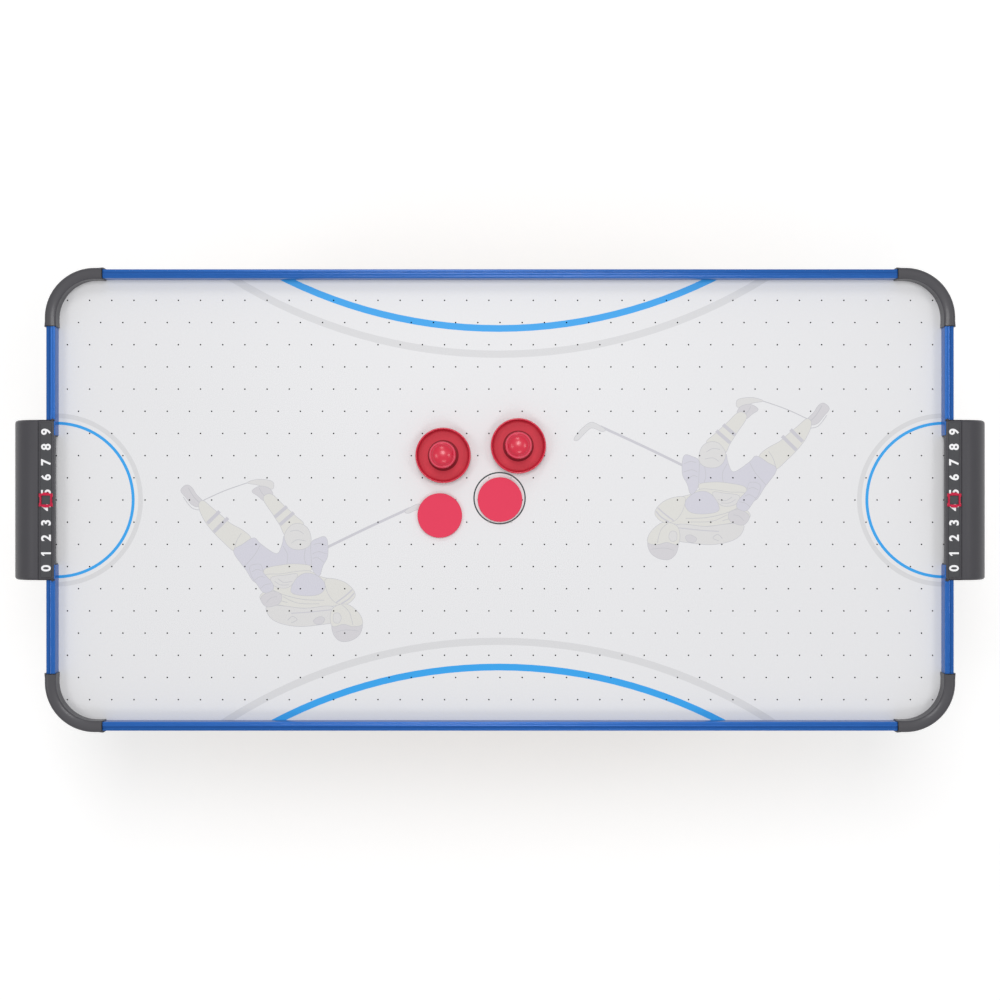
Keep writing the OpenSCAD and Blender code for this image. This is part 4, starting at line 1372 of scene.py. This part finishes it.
        bmesh.ops.dissolve_limit(shape, angle_limit=math.radians(1), verts=shape.verts, edges=shape.edges)
        self.bench.mount(to_piece(shape, f"{node}_slider", [Finishes.marker], 0.5, 2), node)

    def build(self) -> None:
        """Makes the goal's pieces."""
        self.hood()
        self.bench.eased(f"goal_tray_{self.name}", Finishes.goal, 1.0)
        self.bench.eased(f"score_strip_{self.name}", Finishes.scorer, 0.3, 1)
        self.digits()
        self.marker()


# ---------- cabinet and legs ----------


@dataclass
class Cabinet:
    """Side boards, base and the air chamber."""

    bench: Bench

    def build(self) -> None:
        """Dresses the boards."""
        for side in ("front", "back"):
            self.bench.eased(f"apron_{side}", Finishes.laminate_x, 0.9)
        for side in ("left", "right"):
            self.bench.eased(f"apron_{side}", Finishes.laminate_y, 0.9)
        self.bench.eased("plenum_base", Finishes.board, 0.5, 1)
        for node in ("plenum_frame", "plenum_ribs", "corner_blocks"):
            self.bench.dress(node, Finishes.board)


@dataclass
class Legs:
    """Panel legs with their shoes, levelling feet and braces."""

    bench: Bench
    thread_pitch: float = 1.25
    thread_depth: float = 0.5

    def foot(self, node: str) -> None:
        """Makes a levelling foot: a pad, a hexagon and a threaded stud."""
        box = self.bench.box(node)
        centre = (box.centre.x, box.centre.y)
        radius = box.size.x / 2
        shape = bmesh.new()
        profile = [(0, box.lo.z), (radius - 1.5, box.lo.z)]
        profile += arc((radius - 1.5, 1.5), 1.5, -90, 0, 4) + arc((radius - 1.5, 3.2), 1.5, 0, 70, 4)
        profile += [(radius - 6, 6.0), (9.0, 7.4), (7.0, 8.0), (0, 8.0)]
        lathe(shape, profile, centre, 48)
        hexagon = arc(centre, 7.4, 0, 300, 5)
        prism(shape, hexagon, lambda u, v, w: Vector((u, v, w)), 8.0, 11.6)
        self.thread(shape, centre, 11.0, box.hi.z)
        self.bench.mount(to_piece(shape, f"{node}_foot", [Finishes.zinc], bend=40), node)

    def thread(self, shape: bmesh.types.BMesh, centre: Point, low: float, high: float) -> None:
        """Adds a stud with a helical thread."""
        steps, around = 4, 16
        rings = []
        count = int((high - low) / self.thread_pitch * steps)
        for level in range(count + 1):
            z = low + (high - low) * level / count
            row = []
            for index in range(around):
                turn = 2 * math.pi * index / around
                phase = (z / self.thread_pitch - index / around) % 1
                radius = 4.0 - self.thread_depth * abs(2 * phase - 1)
                radius = min(radius, 3.4 + (high - z))
                row.append(polar(centre, radius, turn, z))
            rings.append(row)
        sweep(shape, rings)

    def build(self) -> None:
        """Makes each leg's pieces and the two braces."""
        for corner in CORNERS:
            self.bench.eased(f"leg_{corner}", Finishes.laminate_z, 0.9)
            self.bench.eased(f"shoe_{corner}", Finishes.shoe, 0.7)
            self.foot(f"leveler_{corner}")
        for side in ("left", "right"):
            self.bench.eased(f"end_brace_{side}", Finishes.laminate_y, 0.9)


# ---------- repeated pieces by geometry nodes ----------


class Nodes:
    """A geometry node tree with named sizes, turned into plain mesh on one object."""

    def __init__(self, name: str, sizes: dict[str, float | int]) -> None:
        """Starts the tree with its inputs."""
        self.tree = bpy.data.node_groups.new(name, "GeometryNodeTree")
        self.tree.interface.new_socket("Geometry", in_out="INPUT", socket_type="NodeSocketGeometry")
        self.keys = {}
        for key, value in sizes.items():
            socket = self.tree.interface.new_socket(key, in_out="INPUT", socket_type=socket_kind(value))
            socket.default_value = value
            self.keys[key] = socket.identifier
        self.tree.interface.new_socket("Geometry", in_out="OUTPUT", socket_type="NodeSocketGeometry")
        self.work = Tree(self.tree)
        self.given = self.work.node("NodeGroupInput").outputs

    def close(self, shape: bpy.types.NodeSocket, finish: Finish, smooth: bool = True) -> None:
        """Ends the tree in Realize Instances and Set Material."""
        whole = self.work.node("GeometryNodeRealizeInstances", {0: shape}).outputs[0]
        if smooth:
            whole = self.work.node("GeometryNodeSetShadeSmooth", {0: whole}).outputs[0]
        values = {"Geometry": whole, "Material": finish.material()}
        dressed = self.work.node("GeometryNodeSetMaterial", values)
        self.work.node("NodeGroupOutput", {0: dressed.outputs[0]})

    def close_with_given(self, shape: bpy.types.NodeSocket, finish: Finish) -> None:
        """Ends the tree with its shape joined to the mesh that it was given."""
        both = self.work.node("GeometryNodeJoinGeometry")
        self.work.tree.links.new(shape, both.inputs[0])
        self.work.tree.links.new(self.given["Geometry"], both.inputs[0])
        self.close(both.outputs[0], finish)

    def make(self, name: str, mesh: bpy.types.Mesh, sizes: dict[str, float | int], bend: float = 35.0
             ) -> bpy.types.Object:
        """Runs the tree on a mesh of points.

        Args:
            name: name of the piece.
            mesh: points that the tree reads.
            sizes: values of the tree's inputs.
            bend: angle in degrees past which an edge stays sharp.

        Returns:
            The piece as plain mesh.
        """
        piece = bpy.data.objects.new(name, mesh)
        bpy.context.scene.collection.objects.link(piece)
        modifier = piece.modifiers.new("build", "NODES")
        modifier.node_group = self.tree
        for key, value in sizes.items():
            modifier[self.keys[key]] = value
        freeze(piece)
        piece.data.set_sharp_from_angle(angle=math.radians(bend))
        return piece


def metre_mesh(shape: bmesh.types.BMesh, name: str) -> bpy.types.Mesh:
    """Turns a shape in millimetres into a mesh in metres, and frees the shape."""
    bmesh.ops.scale(shape, vec=(MM,) * 3, verts=shape.verts)
    mesh = bpy.data.meshes.new(name)
    shape.to_mesh(mesh)
    shape.free()
    return mesh


def points_mesh(name: str, places: Iterable[tuple[Vector, Vector]]) -> bpy.types.Mesh:
    """A mesh of loose points in metres, each with the way that it looks kept as an attribute."""
    listed = list(places)
    mesh = bpy.data.meshes.new(name)
    mesh.from_pydata([tuple(place * MM) for place, _ in listed], [], [])
    aim = mesh.attributes.new("aim", "FLOAT_VECTOR", "POINT")
    for index, (_, direction) in enumerate(listed):
        aim.data[index].vector = direction
    return mesh


class Fasteners:
    """Screw and bolt heads with a driven recess, one on each point."""

    def __init__(self) -> None:
        """Builds the tree once for every kind of fastener."""
        sizes = {"Head Radius": 0.004, "Head Height": 0.002, "Shank Radius": 0.0016, "Shank Length": 0.02,
                 "Recess Radius": 0.0015, "Recess Depth": 0.001, "Recess Sides": 6}
        self.nodes = Nodes("fasteners", sizes)
        work, given = self.nodes.work, self.nodes.given
        head = work.node("GeometryNodeMeshCone", {"Vertices": 28, "Side Segments": 3,
                                                  "Radius Bottom": given["Head Radius"],
                                                  "Depth": given["Head Height"]})
        narrow = work.math("MULTIPLY", given["Head Radius"], 0.72)
        work.tree.links.new(narrow, head.inputs["Radius Top"])
        shank = work.node("GeometryNodeMeshCylinder", {"Vertices": 16, "Radius": given["Shank Radius"],
                                                       "Depth": given["Shank Length"]})
        down = work.math("MULTIPLY", given["Shank Length"], -0.5)
        moved = self.shifted(shank.outputs["Mesh"], work.math("ADD", down, 0.0002))
        driver = work.node("GeometryNodeMeshCylinder", {"Vertices": given["Recess Sides"],
                                                        "Radius": given["Recess Radius"],
                                                        "Depth": given["Recess Depth"]})
        lift = self.shifted(driver.outputs["Mesh"], given["Head Height"])
        cut = work.node("GeometryNodeMeshBoolean", {"Mesh 1": head.outputs["Mesh"], "Mesh 2": lift},
                        operation="DIFFERENCE", solver="EXACT")
        both = work.node("GeometryNodeJoinGeometry")
        work.tree.links.new(cut.outputs["Mesh"], both.inputs[0])
        work.tree.links.new(moved, both.inputs[0])
        aim = work.node("GeometryNodeInputNamedAttribute", {"Name": "aim"}, data_type="FLOAT_VECTOR")
        turn = work.node("FunctionNodeAlignRotationToVector", {"Vector": aim.outputs[0]}, axis="Z")
        placed = work.node("GeometryNodeInstanceOnPoints", {"Points": given["Geometry"],
                                                            "Instance": both.outputs[0],
                                                            "Rotation": turn.outputs[0]})
        self.nodes.close(placed.outputs[0], Finishes.zinc)

    def shifted(self, mesh: bpy.types.NodeSocket, height: bpy.types.NodeSocket) -> bpy.types.NodeSocket:
        """Moves a mesh up by a height."""
        work = self.nodes.work
        offset = work.node("ShaderNodeCombineXYZ", {"Z": height}).outputs[0]
        return work.node("GeometryNodeTransform", {"Geometry": mesh, "Translation": offset}).outputs[0]

    def islands(self, bench: Bench, node: str, toward: Callable[[Vector], Vector], height: float
                ) -> list[tuple[Vector, Vector]]:
        """Finds where each fastener of a CAD node has its seat.

        Args:
            bench: the frame.
            node: CAD node that holds separate fasteners.
            toward: gives the way that a fastener's head looks, from its middle.
            height: height of its head.

        Returns:
            The seat's middle and the way that the head looks.
        """
        shape = bench.copy(node)
        seen: set[int] = set()
        found = []
        for start in shape.verts:
            if start.index in seen:
                continue
            stack, members = [start], []
            seen.add(start.index)
            while stack:
                vertex = stack.pop()
                members.append(vertex.co.copy())
                for edge in vertex.link_edges:
                    other = edge.other_vert(vertex)
                    if other.index not in seen:
                        seen.add(other.index)
                        stack.append(other)
            lo = Vector([min(co[axis] for co in members) for axis in range(3)])
            hi = Vector([max(co[axis] for co in members) for axis in range(3)])
            middle = (lo + hi) / 2
            aim = toward(middle)
            reach = max(co.dot(aim) for co in members)
            seat = middle + aim * (reach - height - middle.dot(aim))
            found.append((seat, aim))
        shape.free()
        return found


@dataclass
class Hardware:
    """Case screws, leg bolts and fan screws."""

    bench: Bench

    def screw_way(self, middle: Vector) -> Vector:
        """Case screws look down, or outwards in the goal trays."""
        if middle.z < 725 and abs(middle.x) > 740:
            return Vector((math.copysign(1, middle.x), 0, 0))
        return Vector((0, 0, -1))

    def build(self) -> None:
        """Makes every group of fasteners."""
        fasteners = Fasteners()
        screws = fasteners.islands(self.bench, "case_screws", self.screw_way, 2.0)
        sizes = {"Head Radius": 3.4 * MM, "Head Height": 2.0 * MM, "Shank Radius": 1.5 * MM,
                 "Shank Length": 12.0 * MM, "Recess Radius": 1.6 * MM, "Recess Depth": 1.6 * MM,
                 "Recess Sides": 4}
        piece = fasteners.nodes.make("case_screws_set", points_mesh("case_screws_set", screws), sizes)
        self.bench.mount(piece, "case_screws")
        reach = self.bench.box("fan_screws").size.z - 3.0
        sizes.update({"Head Radius": 4.2 * MM, "Head Height": 3.0 * MM, "Recess Radius": 2.0 * MM,
                      "Recess Depth": 2.4 * MM, "Shank Radius": 1.9 * MM, "Shank Length": reach * MM})
        fan = fasteners.islands(self.bench, "fan_screws", lambda _: Vector((0, 0, -1)), 3.0)
        piece = fasteners.nodes.make("fan_screws_set", points_mesh("fan_screws_set", fan), sizes)
        self.bench.mount(piece, "fan_screws")
        self.bench.eased("leg_bolts", Finishes.zinc, 0.3, 1)


@dataclass
class Fan:
    """Blower under the middle of the table."""

    bench: Bench
    blades: int = 7
    screw_reach: float = 58.0
    guard_bar: float = 1.15
    guard_wire: float = 1.1
    lead_radius: float = 2.1

    def impeller(self) -> None:
        """Makes a hub with twisted, cambered blades."""
        box = self.bench.box("fan_impeller")
        sizes = {"Blades": self.blades, "Root": 0.0225, "Reach": 0.0335, "Chord": 0.024, "Thickness": 0.0018,
                 "Root Pitch": 0.75, "Tip Pitch": 0.42, "Height": 0.0}
        nodes = Nodes("fan_blades", sizes)
        work, given = nodes.work, nodes.given
        grid = work.node("GeometryNodeMeshGrid", {"Size X": 1.0, "Size Y": 1.0, "Vertices X": 10,
                                                  "Vertices Y": 9})
        spot = work.node("GeometryNodeInputPosition").outputs[0]
        parts = work.node("ShaderNodeSeparateXYZ", {0: spot}).outputs
        share = work.math("ADD", parts["X"], 0.5)
        width = work.math("MULTIPLY", given["Chord"], work.math("MULTIPLY_ADD", share, 0.12))
        width.node.inputs[2].default_value = 0.88
        across = work.math("MULTIPLY", parts["Y"], width)
        pitch = work.math("ADD", given["Root Pitch"],
                          work.math("MULTIPLY", share, work.math("SUBTRACT", given["Tip Pitch"],
                                                                 given["Root Pitch"])))
        out = work.math("ADD", given["Root"], work.math("MULTIPLY", share, given["Reach"]))
        side = work.math("MULTIPLY", across, work.math("COSINE", pitch))
        square = work.math("MULTIPLY", parts["Y"], parts["Y"])
        bow = work.math("MULTIPLY", work.math("SUBTRACT", 0.25, square), 0.008)
        rise = work.math("ADD", work.math("MULTIPLY", across, work.math("SINE", pitch)), bow)
        height = work.math("ADD", rise, given["Height"])
        placed = work.node("ShaderNodeCombineXYZ", {"X": out, "Y": side, "Z": height}).outputs[0]
        bent = work.node("GeometryNodeSetPosition", {"Geometry": grid.outputs["Mesh"], "Position": placed})
        normal = work.node("GeometryNodeInputNormal").outputs[0]
        shift = work.node("ShaderNodeVectorMath", {0: normal}, operation="SCALE")
        work.tree.links.new(given["Thickness"], shift.inputs["Scale"])
        thick = work.node("GeometryNodeExtrudeMesh", {"Mesh": bent.outputs[0], "Offset": shift.outputs[0],
                                                      "Individual": False}, mode="FACES")
        under = work.node("GeometryNodeFlipFaces", {0: bent.outputs[0]}).outputs[0]
        joined = work.node("GeometryNodeJoinGeometry")
        work.tree.links.new(thick.outputs["Mesh"], joined.inputs[0])
        work.tree.links.new(under, joined.inputs[0])
        welded = work.node("GeometryNodeMergeByDistance", {0: joined.outputs[0], "Distance": 1e-5})
        count = work.node("GeometryNodePoints", {"Count": given["Blades"]}).outputs[0]
        index = work.node("GeometryNodeInputIndex").outputs[0]
        step = work.math("DIVIDE", 2 * math.pi, given["Blades"])
        turn = work.node("ShaderNodeCombineXYZ", {"Z": work.math("MULTIPLY", index, step)}).outputs[0]
        rotate = work.node("FunctionNodeEulerToRotation", {0: turn}).outputs[0]
        spread = work.node("GeometryNodeInstanceOnPoints", {"Points": count, "Instance": welded.outputs[0],
                                                            "Rotation": rotate})
        nodes.close_with_given(spread.outputs[0], Finishes.fan)
        hub = bmesh.new()
        low, high = box.lo.z, box.hi.z
        profile = [(3.2, high - 3), (3.2, high - 0.6), (4.2, high), (21.5, high), (22.6, high - 0.6),
                   (23, high - 2), (23, low + 0.6), (22.4, low), (21.4, low), (21, low + 0.6), (21, high - 3)]
        lathe(hub, profile, (0, 0), 64, closed=True)
        values = {"Blades": self.blades, "Height": (box.centre.z - 2.4) * MM}
        piece = nodes.make("fan_impeller_wheel", metre_mesh(hub, "impeller"), values)
        self.bench.mount(piece, "fan_impeller")

    def guard(self) -> None:
        """Makes the finger guard: wire rings on two crossed bars."""
        box = self.bench.box("fan_guard")
        sizes = {"Rings": 4, "First Radius": 0.016, "Pitch": 0.012, "Wire": 0.0011, "Height": 0.0}
        nodes = Nodes("guard_rings", sizes)
        work, given = nodes.work, nodes.given
        lift = work.node("ShaderNodeCombineXYZ", {"Z": given["Height"]}).outputs[0]
        count = work.node("GeometryNodePoints", {"Count": given["Rings"], "Position": lift}).outputs[0]
        index = work.node("GeometryNodeInputIndex").outputs[0]
        radius = work.math("ADD", given["First Radius"], work.math("MULTIPLY", index, given["Pitch"]))
        circle = work.node("GeometryNodeCurvePrimitiveCircle", {"Resolution": 64, "Radius": 1.0})
        spread = work.node("GeometryNodeInstanceOnPoints", {"Points": count, "Instance": circle.outputs[0],
                                                            "Scale": radius})
        real = work.node("GeometryNodeRealizeInstances", {0: spread.outputs[0]}).outputs[0]
        wire = work.node("GeometryNodeCurvePrimitiveCircle", {"Resolution": 10, "Radius": given["Wire"]})
        tubes = work.node("GeometryNodeCurveToMesh", {"Curve": real, "Profile Curve": wire.outputs[0]})
        nodes.close_with_given(tubes.outputs[0], Finishes.guard)
        bars = bmesh.new()
        corner = self.screw_reach * math.sqrt(2)
        reach = corner - 4
        for turn in (45, 135):
            heading = Vector((math.cos(math.radians(turn)), math.sin(math.radians(turn)), 0))
            side = Vector((-heading.y, heading.x, 0))
            level = Vector((0, 0, box.lo.z + 2.4))
            section = arc((0, 0), self.guard_bar, 0, 330, 11)
            prism(bars, section,
                  lambda u, v, w: level + side * u + Vector((0, 0, v)) + heading * w, -reach, reach)
            for end in (-1, 1):
                tab = level + heading * end * corner
                profile = [(2.3, tab.z - 1.1), (5.4, tab.z - 1.1), (5.4, tab.z + 1.0), (2.3, tab.z + 1.0)]
                lathe(bars, profile, (tab.x, tab.y), 24, closed=True)
        values = {"Height": (box.lo.z + self.guard_wire) * MM}
        piece = nodes.make("fan_guard_wires", metre_mesh(bars, "guard"), values)
        self.bench.mount(piece, "fan_guard")

    def lead(self) -> None:
        """Makes the lead that runs from the switch to the motor, under the base."""
        base = self.bench.box("plenum_base").lo.z
        level = base - 2.5
        route = [(520, -369.8, 704), (520, -360, 704), (520, -350, 707), (514, -338, 718),
                 (498, -326, level - 1), (470, -320, level), (430, -320, level), (300, -320, level),
                 (190, -320, level), (90, -320, level), (60, -320, level), (25, -313, level),
                 (4, -290, level), (0, -262, level), (0, -240, level), (0, -180, level),
                 (0, -140, level), (0, -118, level), (0, -106, level - 2.5), (0, -92, level - 8),
                 (0, -80, level - 11.5), (0, -72, level - 12.5), (0, -63.9, level - 12.5)]
        curve = bpy.data.curves.new("lead", "CURVE")
        curve.dimensions = "3D"
        curve.bevel_depth = self.lead_radius * MM
        curve.bevel_resolution = 3
        curve.use_fill_caps = True
        spline = curve.splines.new("POLY")
        fine = list(self.smooth(route, 5))
        spline.points.add(len(fine) - 1)
        for point, place in zip(spline.points, fine):
            point.co = (*(place * MM), 1)
        holder = bpy.data.objects.new("fan_lead_cable", curve)
        bpy.context.scene.collection.objects.link(holder)
        graph = bpy.context.evaluated_depsgraph_get()
        mesh = bpy.data.meshes.new_from_object(holder.evaluated_get(graph))
        bpy.data.objects.remove(holder)
        mesh.materials.clear()
        mesh.materials.append(Finishes.lead.material())
        mesh.shade_smooth()
        piece = bpy.data.objects.new("fan_lead_cable", mesh)
        bpy.context.scene.collection.objects.link(piece)
        self.bench.mount(piece, "fan_lead")

    def smooth(self, route: Sequence[tuple[float, float, float]], steps: int) -> Iterator[Vector]:
        """Points along a curve through every point of a route."""
        points = [Vector(place) for place in route]
        for index in range(len(points) - 1):
            before, start = points[max(0, index - 1)], points[index]
            end, after = points[index + 1], points[min(len(points) - 1, index + 2)]
            for step in range(steps):
                t = step / steps
                bend = 2 * before - 5 * start + 4 * end - after
                swing = 3 * start - before - 3 * end + after
                yield 0.5 * (2 * start + (end - before) * t + bend * t ** 2 + swing * t ** 3)
        yield points[-1]

    def build(self) -> None:
        """Makes the fan's pieces."""
        self.bench.eased("fan_housing", Finishes.fan, 0.6)
        self.bench.eased("fan_motor", Finishes.motor, 0.8)
        self.impeller()
        self.guard()
        self.bench.eased("fan_gasket", Finishes.foam, 0.4, 1)
        self.lead()
        self.bench.eased("lead_clips", Finishes.nylon, 0.2, 1)


@dataclass
class Switch:
    """Switch plate with its rocker and the low voltage inlet."""

    bench: Bench

    def build(self) -> None:
        """Makes the three pieces."""
        self.bench.eased("switch_plate", Finishes.switch, 0.5)
        self.bench.eased("power_rocker", Finishes.switch, 0.5)
        self.bench.eased("power_inlet", Finishes.switch, 0.25, 1)


# ---------- playing pieces ----------


@dataclass
class Puck:
    """Flat red puck with rolled edges."""

    bench: Bench
    number: str
    edge: float = 1.0

    def build(self) -> None:
        """Turns the puck."""
        node = f"puck_{self.number}"
        box = self.bench.box(node)
        radius, low, high, edge = box.size.x / 2, box.lo.z, box.hi.z, self.edge
        profile = [(0, low), (radius - 4, low)] + arc((radius - edge, low + edge), edge, -90, 0, 5)
        profile += arc((radius - edge, high - edge), edge, 0, 90, 5)
        profile += [(radius - 3.0, high - 0.05), (radius - 3.6, high - 0.2), (radius - 4.1, high - 0.2)]
        profile += [(radius - 4.6, high - 0.2), (0, high - 0.2)]
        shape = bmesh.new()
        lathe(shape, profile, (box.centre.x, box.centre.y), 128)
        self.bench.mount(to_piece(shape, f"{node}_disc", [Finishes.puck], bend=40), node)


@dataclass
class Pusher:
    """Red pusher with a trough round a domed knob, on a felt ring."""

    bench: Bench
    number: str
    rim: float = 16.0
    rim_wall: float = 3.0
    floor: float = 3.5
    neck: float = 18.0
    knob: float = 22.5

    def profile(self, radius: float, height: float) -> Outline:
        """Half section from the axis under the knob, round the rim and up to the knob's top."""
        rim, wall, floor, neck, knob = self.rim, self.rim_wall, self.floor, self.neck, self.knob
        points = [(0, height - 8), (neck - 3.5, height - 8), (neck - 1.5, height - 10), (neck - 1.5, 0.5)]
        points += [(neck - 1.0, 0), (radius - 1.2, 0)] + arc((radius - 1.2, 1.2), 1.2, -90, 0, 4)[1:]
        points += arc((radius - wall / 2, rim - wall / 2), wall / 2, 0, 180, 10)
        points += [(radius - wall - 0.5, floor + 4)]
        points += arc((radius - wall - 4.5, floor + 4), 4, 0, -90, 6)[1:]
        points += [(radius - wall - 5.2, floor), (neck + 8, floor)]
        points += arc((neck + 6, floor + 6), 6, -90, -180, 8)
        points += [(neck, height * 0.45), (neck + 0.2, height - 22)]
        points += arc((knob - 5, height - 12.5), 5, -60, 60, 10)
        points += [(knob - 4.0, height - 7.6)]
        points += arc((0, height - 8.2), (knob - 4.8, 8.2), 8, 90, 16)
        return points

    def shade(self, shape: bmesh.types.BMesh, centre: Point, box: Box) -> None:
        """Gives the trough its own finish, paints a dark ring round the neck's foot as the shadow under the
        knob, and paints a light band on the knob's edge as a highlight.
        """
        inner = box.size.x / 2 - self.rim_wall - 0.3
        for face in shape.faces:
            middle = face.calc_center_median()
            radius = math.hypot(middle.x - centre[0], middle.y - centre[1])
            height = middle.z - box.lo.z
            if self.neck + 7.5 < radius < inner and 0.3 < height < self.rim * 0.7 and face.normal.z > 0.05:
                face.material_index = 1
            # The dark ring round the neck's foot is painted shadow under the knob.
            elif self.neck - 0.5 < radius <= self.neck + 7.5 and 0.3 < height < box.size.z * 0.7:
                face.material_index = 2
            # The light band on the knob's edge is a painted highlight.
            elif self.knob - 3.0 < radius < self.knob - 1.7 and height > box.size.z - 10:
                face.material_index = 3

    def build(self) -> None:
        """Turns the pusher and its felt ring."""
        node = f"pusher_{self.number}"
        box = self.bench.box(node)
        centre = (box.centre.x, box.centre.y)
        outline = [(radius, box.lo.z + height) for radius, height in self.profile(box.size.x / 2, box.size.z)]
        shape = bmesh.new()
        lathe(shape, outline, centre, 128)
        self.shade(shape, centre, box)
        finishes = [Finishes.pusher, Finishes.trough, Finishes.hollow, Finishes.bead]
        self.bench.mount(to_piece(shape, f"{node}_body", finishes, bend=40), node)
        felt = f"pusher_felt_{self.number}"
        box = self.bench.box(felt)
        outer, inner = box.size.x / 2, box.size.x / 2 - 11
        shape = bmesh.new()
        profile = [(inner, box.lo.z + 0.4), (inner + 0.4, box.lo.z), (outer - 0.4, box.lo.z),
                   (outer, box.lo.z + 0.4), (outer, box.hi.z), (inner, box.hi.z)]
        lathe(shape, profile, centre, 96, closed=True)
        self.bench.mount(to_piece(shape, f"{felt}_ring", [Finishes.felt], bend=40), felt)


# ---------- studio ----------


@dataclass
class Studio:
    """Pale floor, soft light and the camera straight above the table."""

    camera_height: float = 3690.0
    lens: float = 62.52
    floor_size: float = 60.0
    floor_glow: float = 0.28
    sky: float = 0.5
    sensor: float = 36.0
    aim_height: float = 0.75

    def floor(self) -> None:
        """Lays the floor."""
        mesh = bpy.data.meshes.new("studio_floor")
        half = self.floor_size / 2
        corners = [(-half, -half, 0), (half, -half, 0), (half, half, 0), (-half, half, 0)]
        mesh.from_pydata(corners, [], [(0, 1, 2, 3)])
        finish = Finish("studio_floor", (0.93, 0.93, 0.93), roughness=0.9, grain=3.0, depth=0.02, drift=0.01,
                        specular=0.1)
        material = finish.material()
        shader = material.node_tree.nodes["Principled BSDF"]
        shader.inputs["Emission Color"].default_value = (1, 1, 1, 1)
        shader.inputs["Emission Strength"].default_value = self.floor_glow
        mesh.materials.append(material)
        floor = bpy.data.objects.new("studio_floor", mesh)
        bpy.context.scene.collection.objects.link(floor)
        floor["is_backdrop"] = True

    def lamp(self, name: str, place: tuple[float, float, float], size: float, power: float) -> None:
        """Hangs a soft light that looks at the playfield."""
        light = bpy.data.lights.new(name, "AREA")
        light.shape = "DISK"
        light.size = size
        light.energy = power
        holder = bpy.data.objects.new(name, light)
        holder.location = place
        aim = Vector((0, 0, self.aim_height)) - Vector(place)
        holder.rotation_euler = aim.to_track_quat("-Z", "Y").to_euler()
        bpy.context.scene.collection.objects.link(holder)

    def camera(self) -> None:
        """Hangs the camera over the table's middle, looking straight down."""
        camera = bpy.data.cameras.new("camera")
        camera.lens = self.lens
        camera.sensor_width = self.sensor
        camera.clip_end = 50
        holder = bpy.data.objects.new("camera", camera)
        holder.location = (0, 0, self.camera_height * MM)
        bpy.context.scene.collection.objects.link(holder)
        bpy.context.scene.camera = holder

    def build(self) -> None:
        """Sets up light, floor and camera."""
        scene = bpy.context.scene
        scene.view_settings.view_transform = "Standard"
        world = bpy.data.worlds.new("studio")
        scene.world = world
        world.use_nodes = True
        world.node_tree.nodes["Background"].inputs["Color"].default_value = (1, 1, 1, 1)
        world.node_tree.nodes["Background"].inputs["Strength"].default_value = self.sky
        self.lamp("high_soft", (0.0, 1.0, 5.0), 1.4, 49)
        self.lamp("soft_key", (-0.4, 2.9, 3.6), 1.2, 18)
        self.lamp("left_fill", (-2.3, -0.3, 3.6), 1.0, 12)
        self.lamp("right_fill", (2.3, 0.1, 3.6), 1.0, 12)
        self.lamp("front_fill", (0.4, -2.5, 3.8), 1.2, 17)
        self.floor()
        self.camera()


def main() -> None:
    """Builds the table."""
    logging.basicConfig(level=logging.INFO, format="%(name)s: %(message)s")
    bench = Bench()
    Studio().build()
    Playfield(bench).build()
    Rails(bench).build()
    CornerCaps(bench).build()
    for side in (LEFT, RIGHT):
        GoalEnd(bench, side).build()
    Cabinet(bench).build()
    Legs(bench).build()
    Hardware(bench).build()
    Fan(bench).build()
    Switch(bench).build()
    for number in ("one", "two"):
        Puck(bench, number).build()
        Pusher(bench, number).build()


if __name__ == "__main__":
    main()
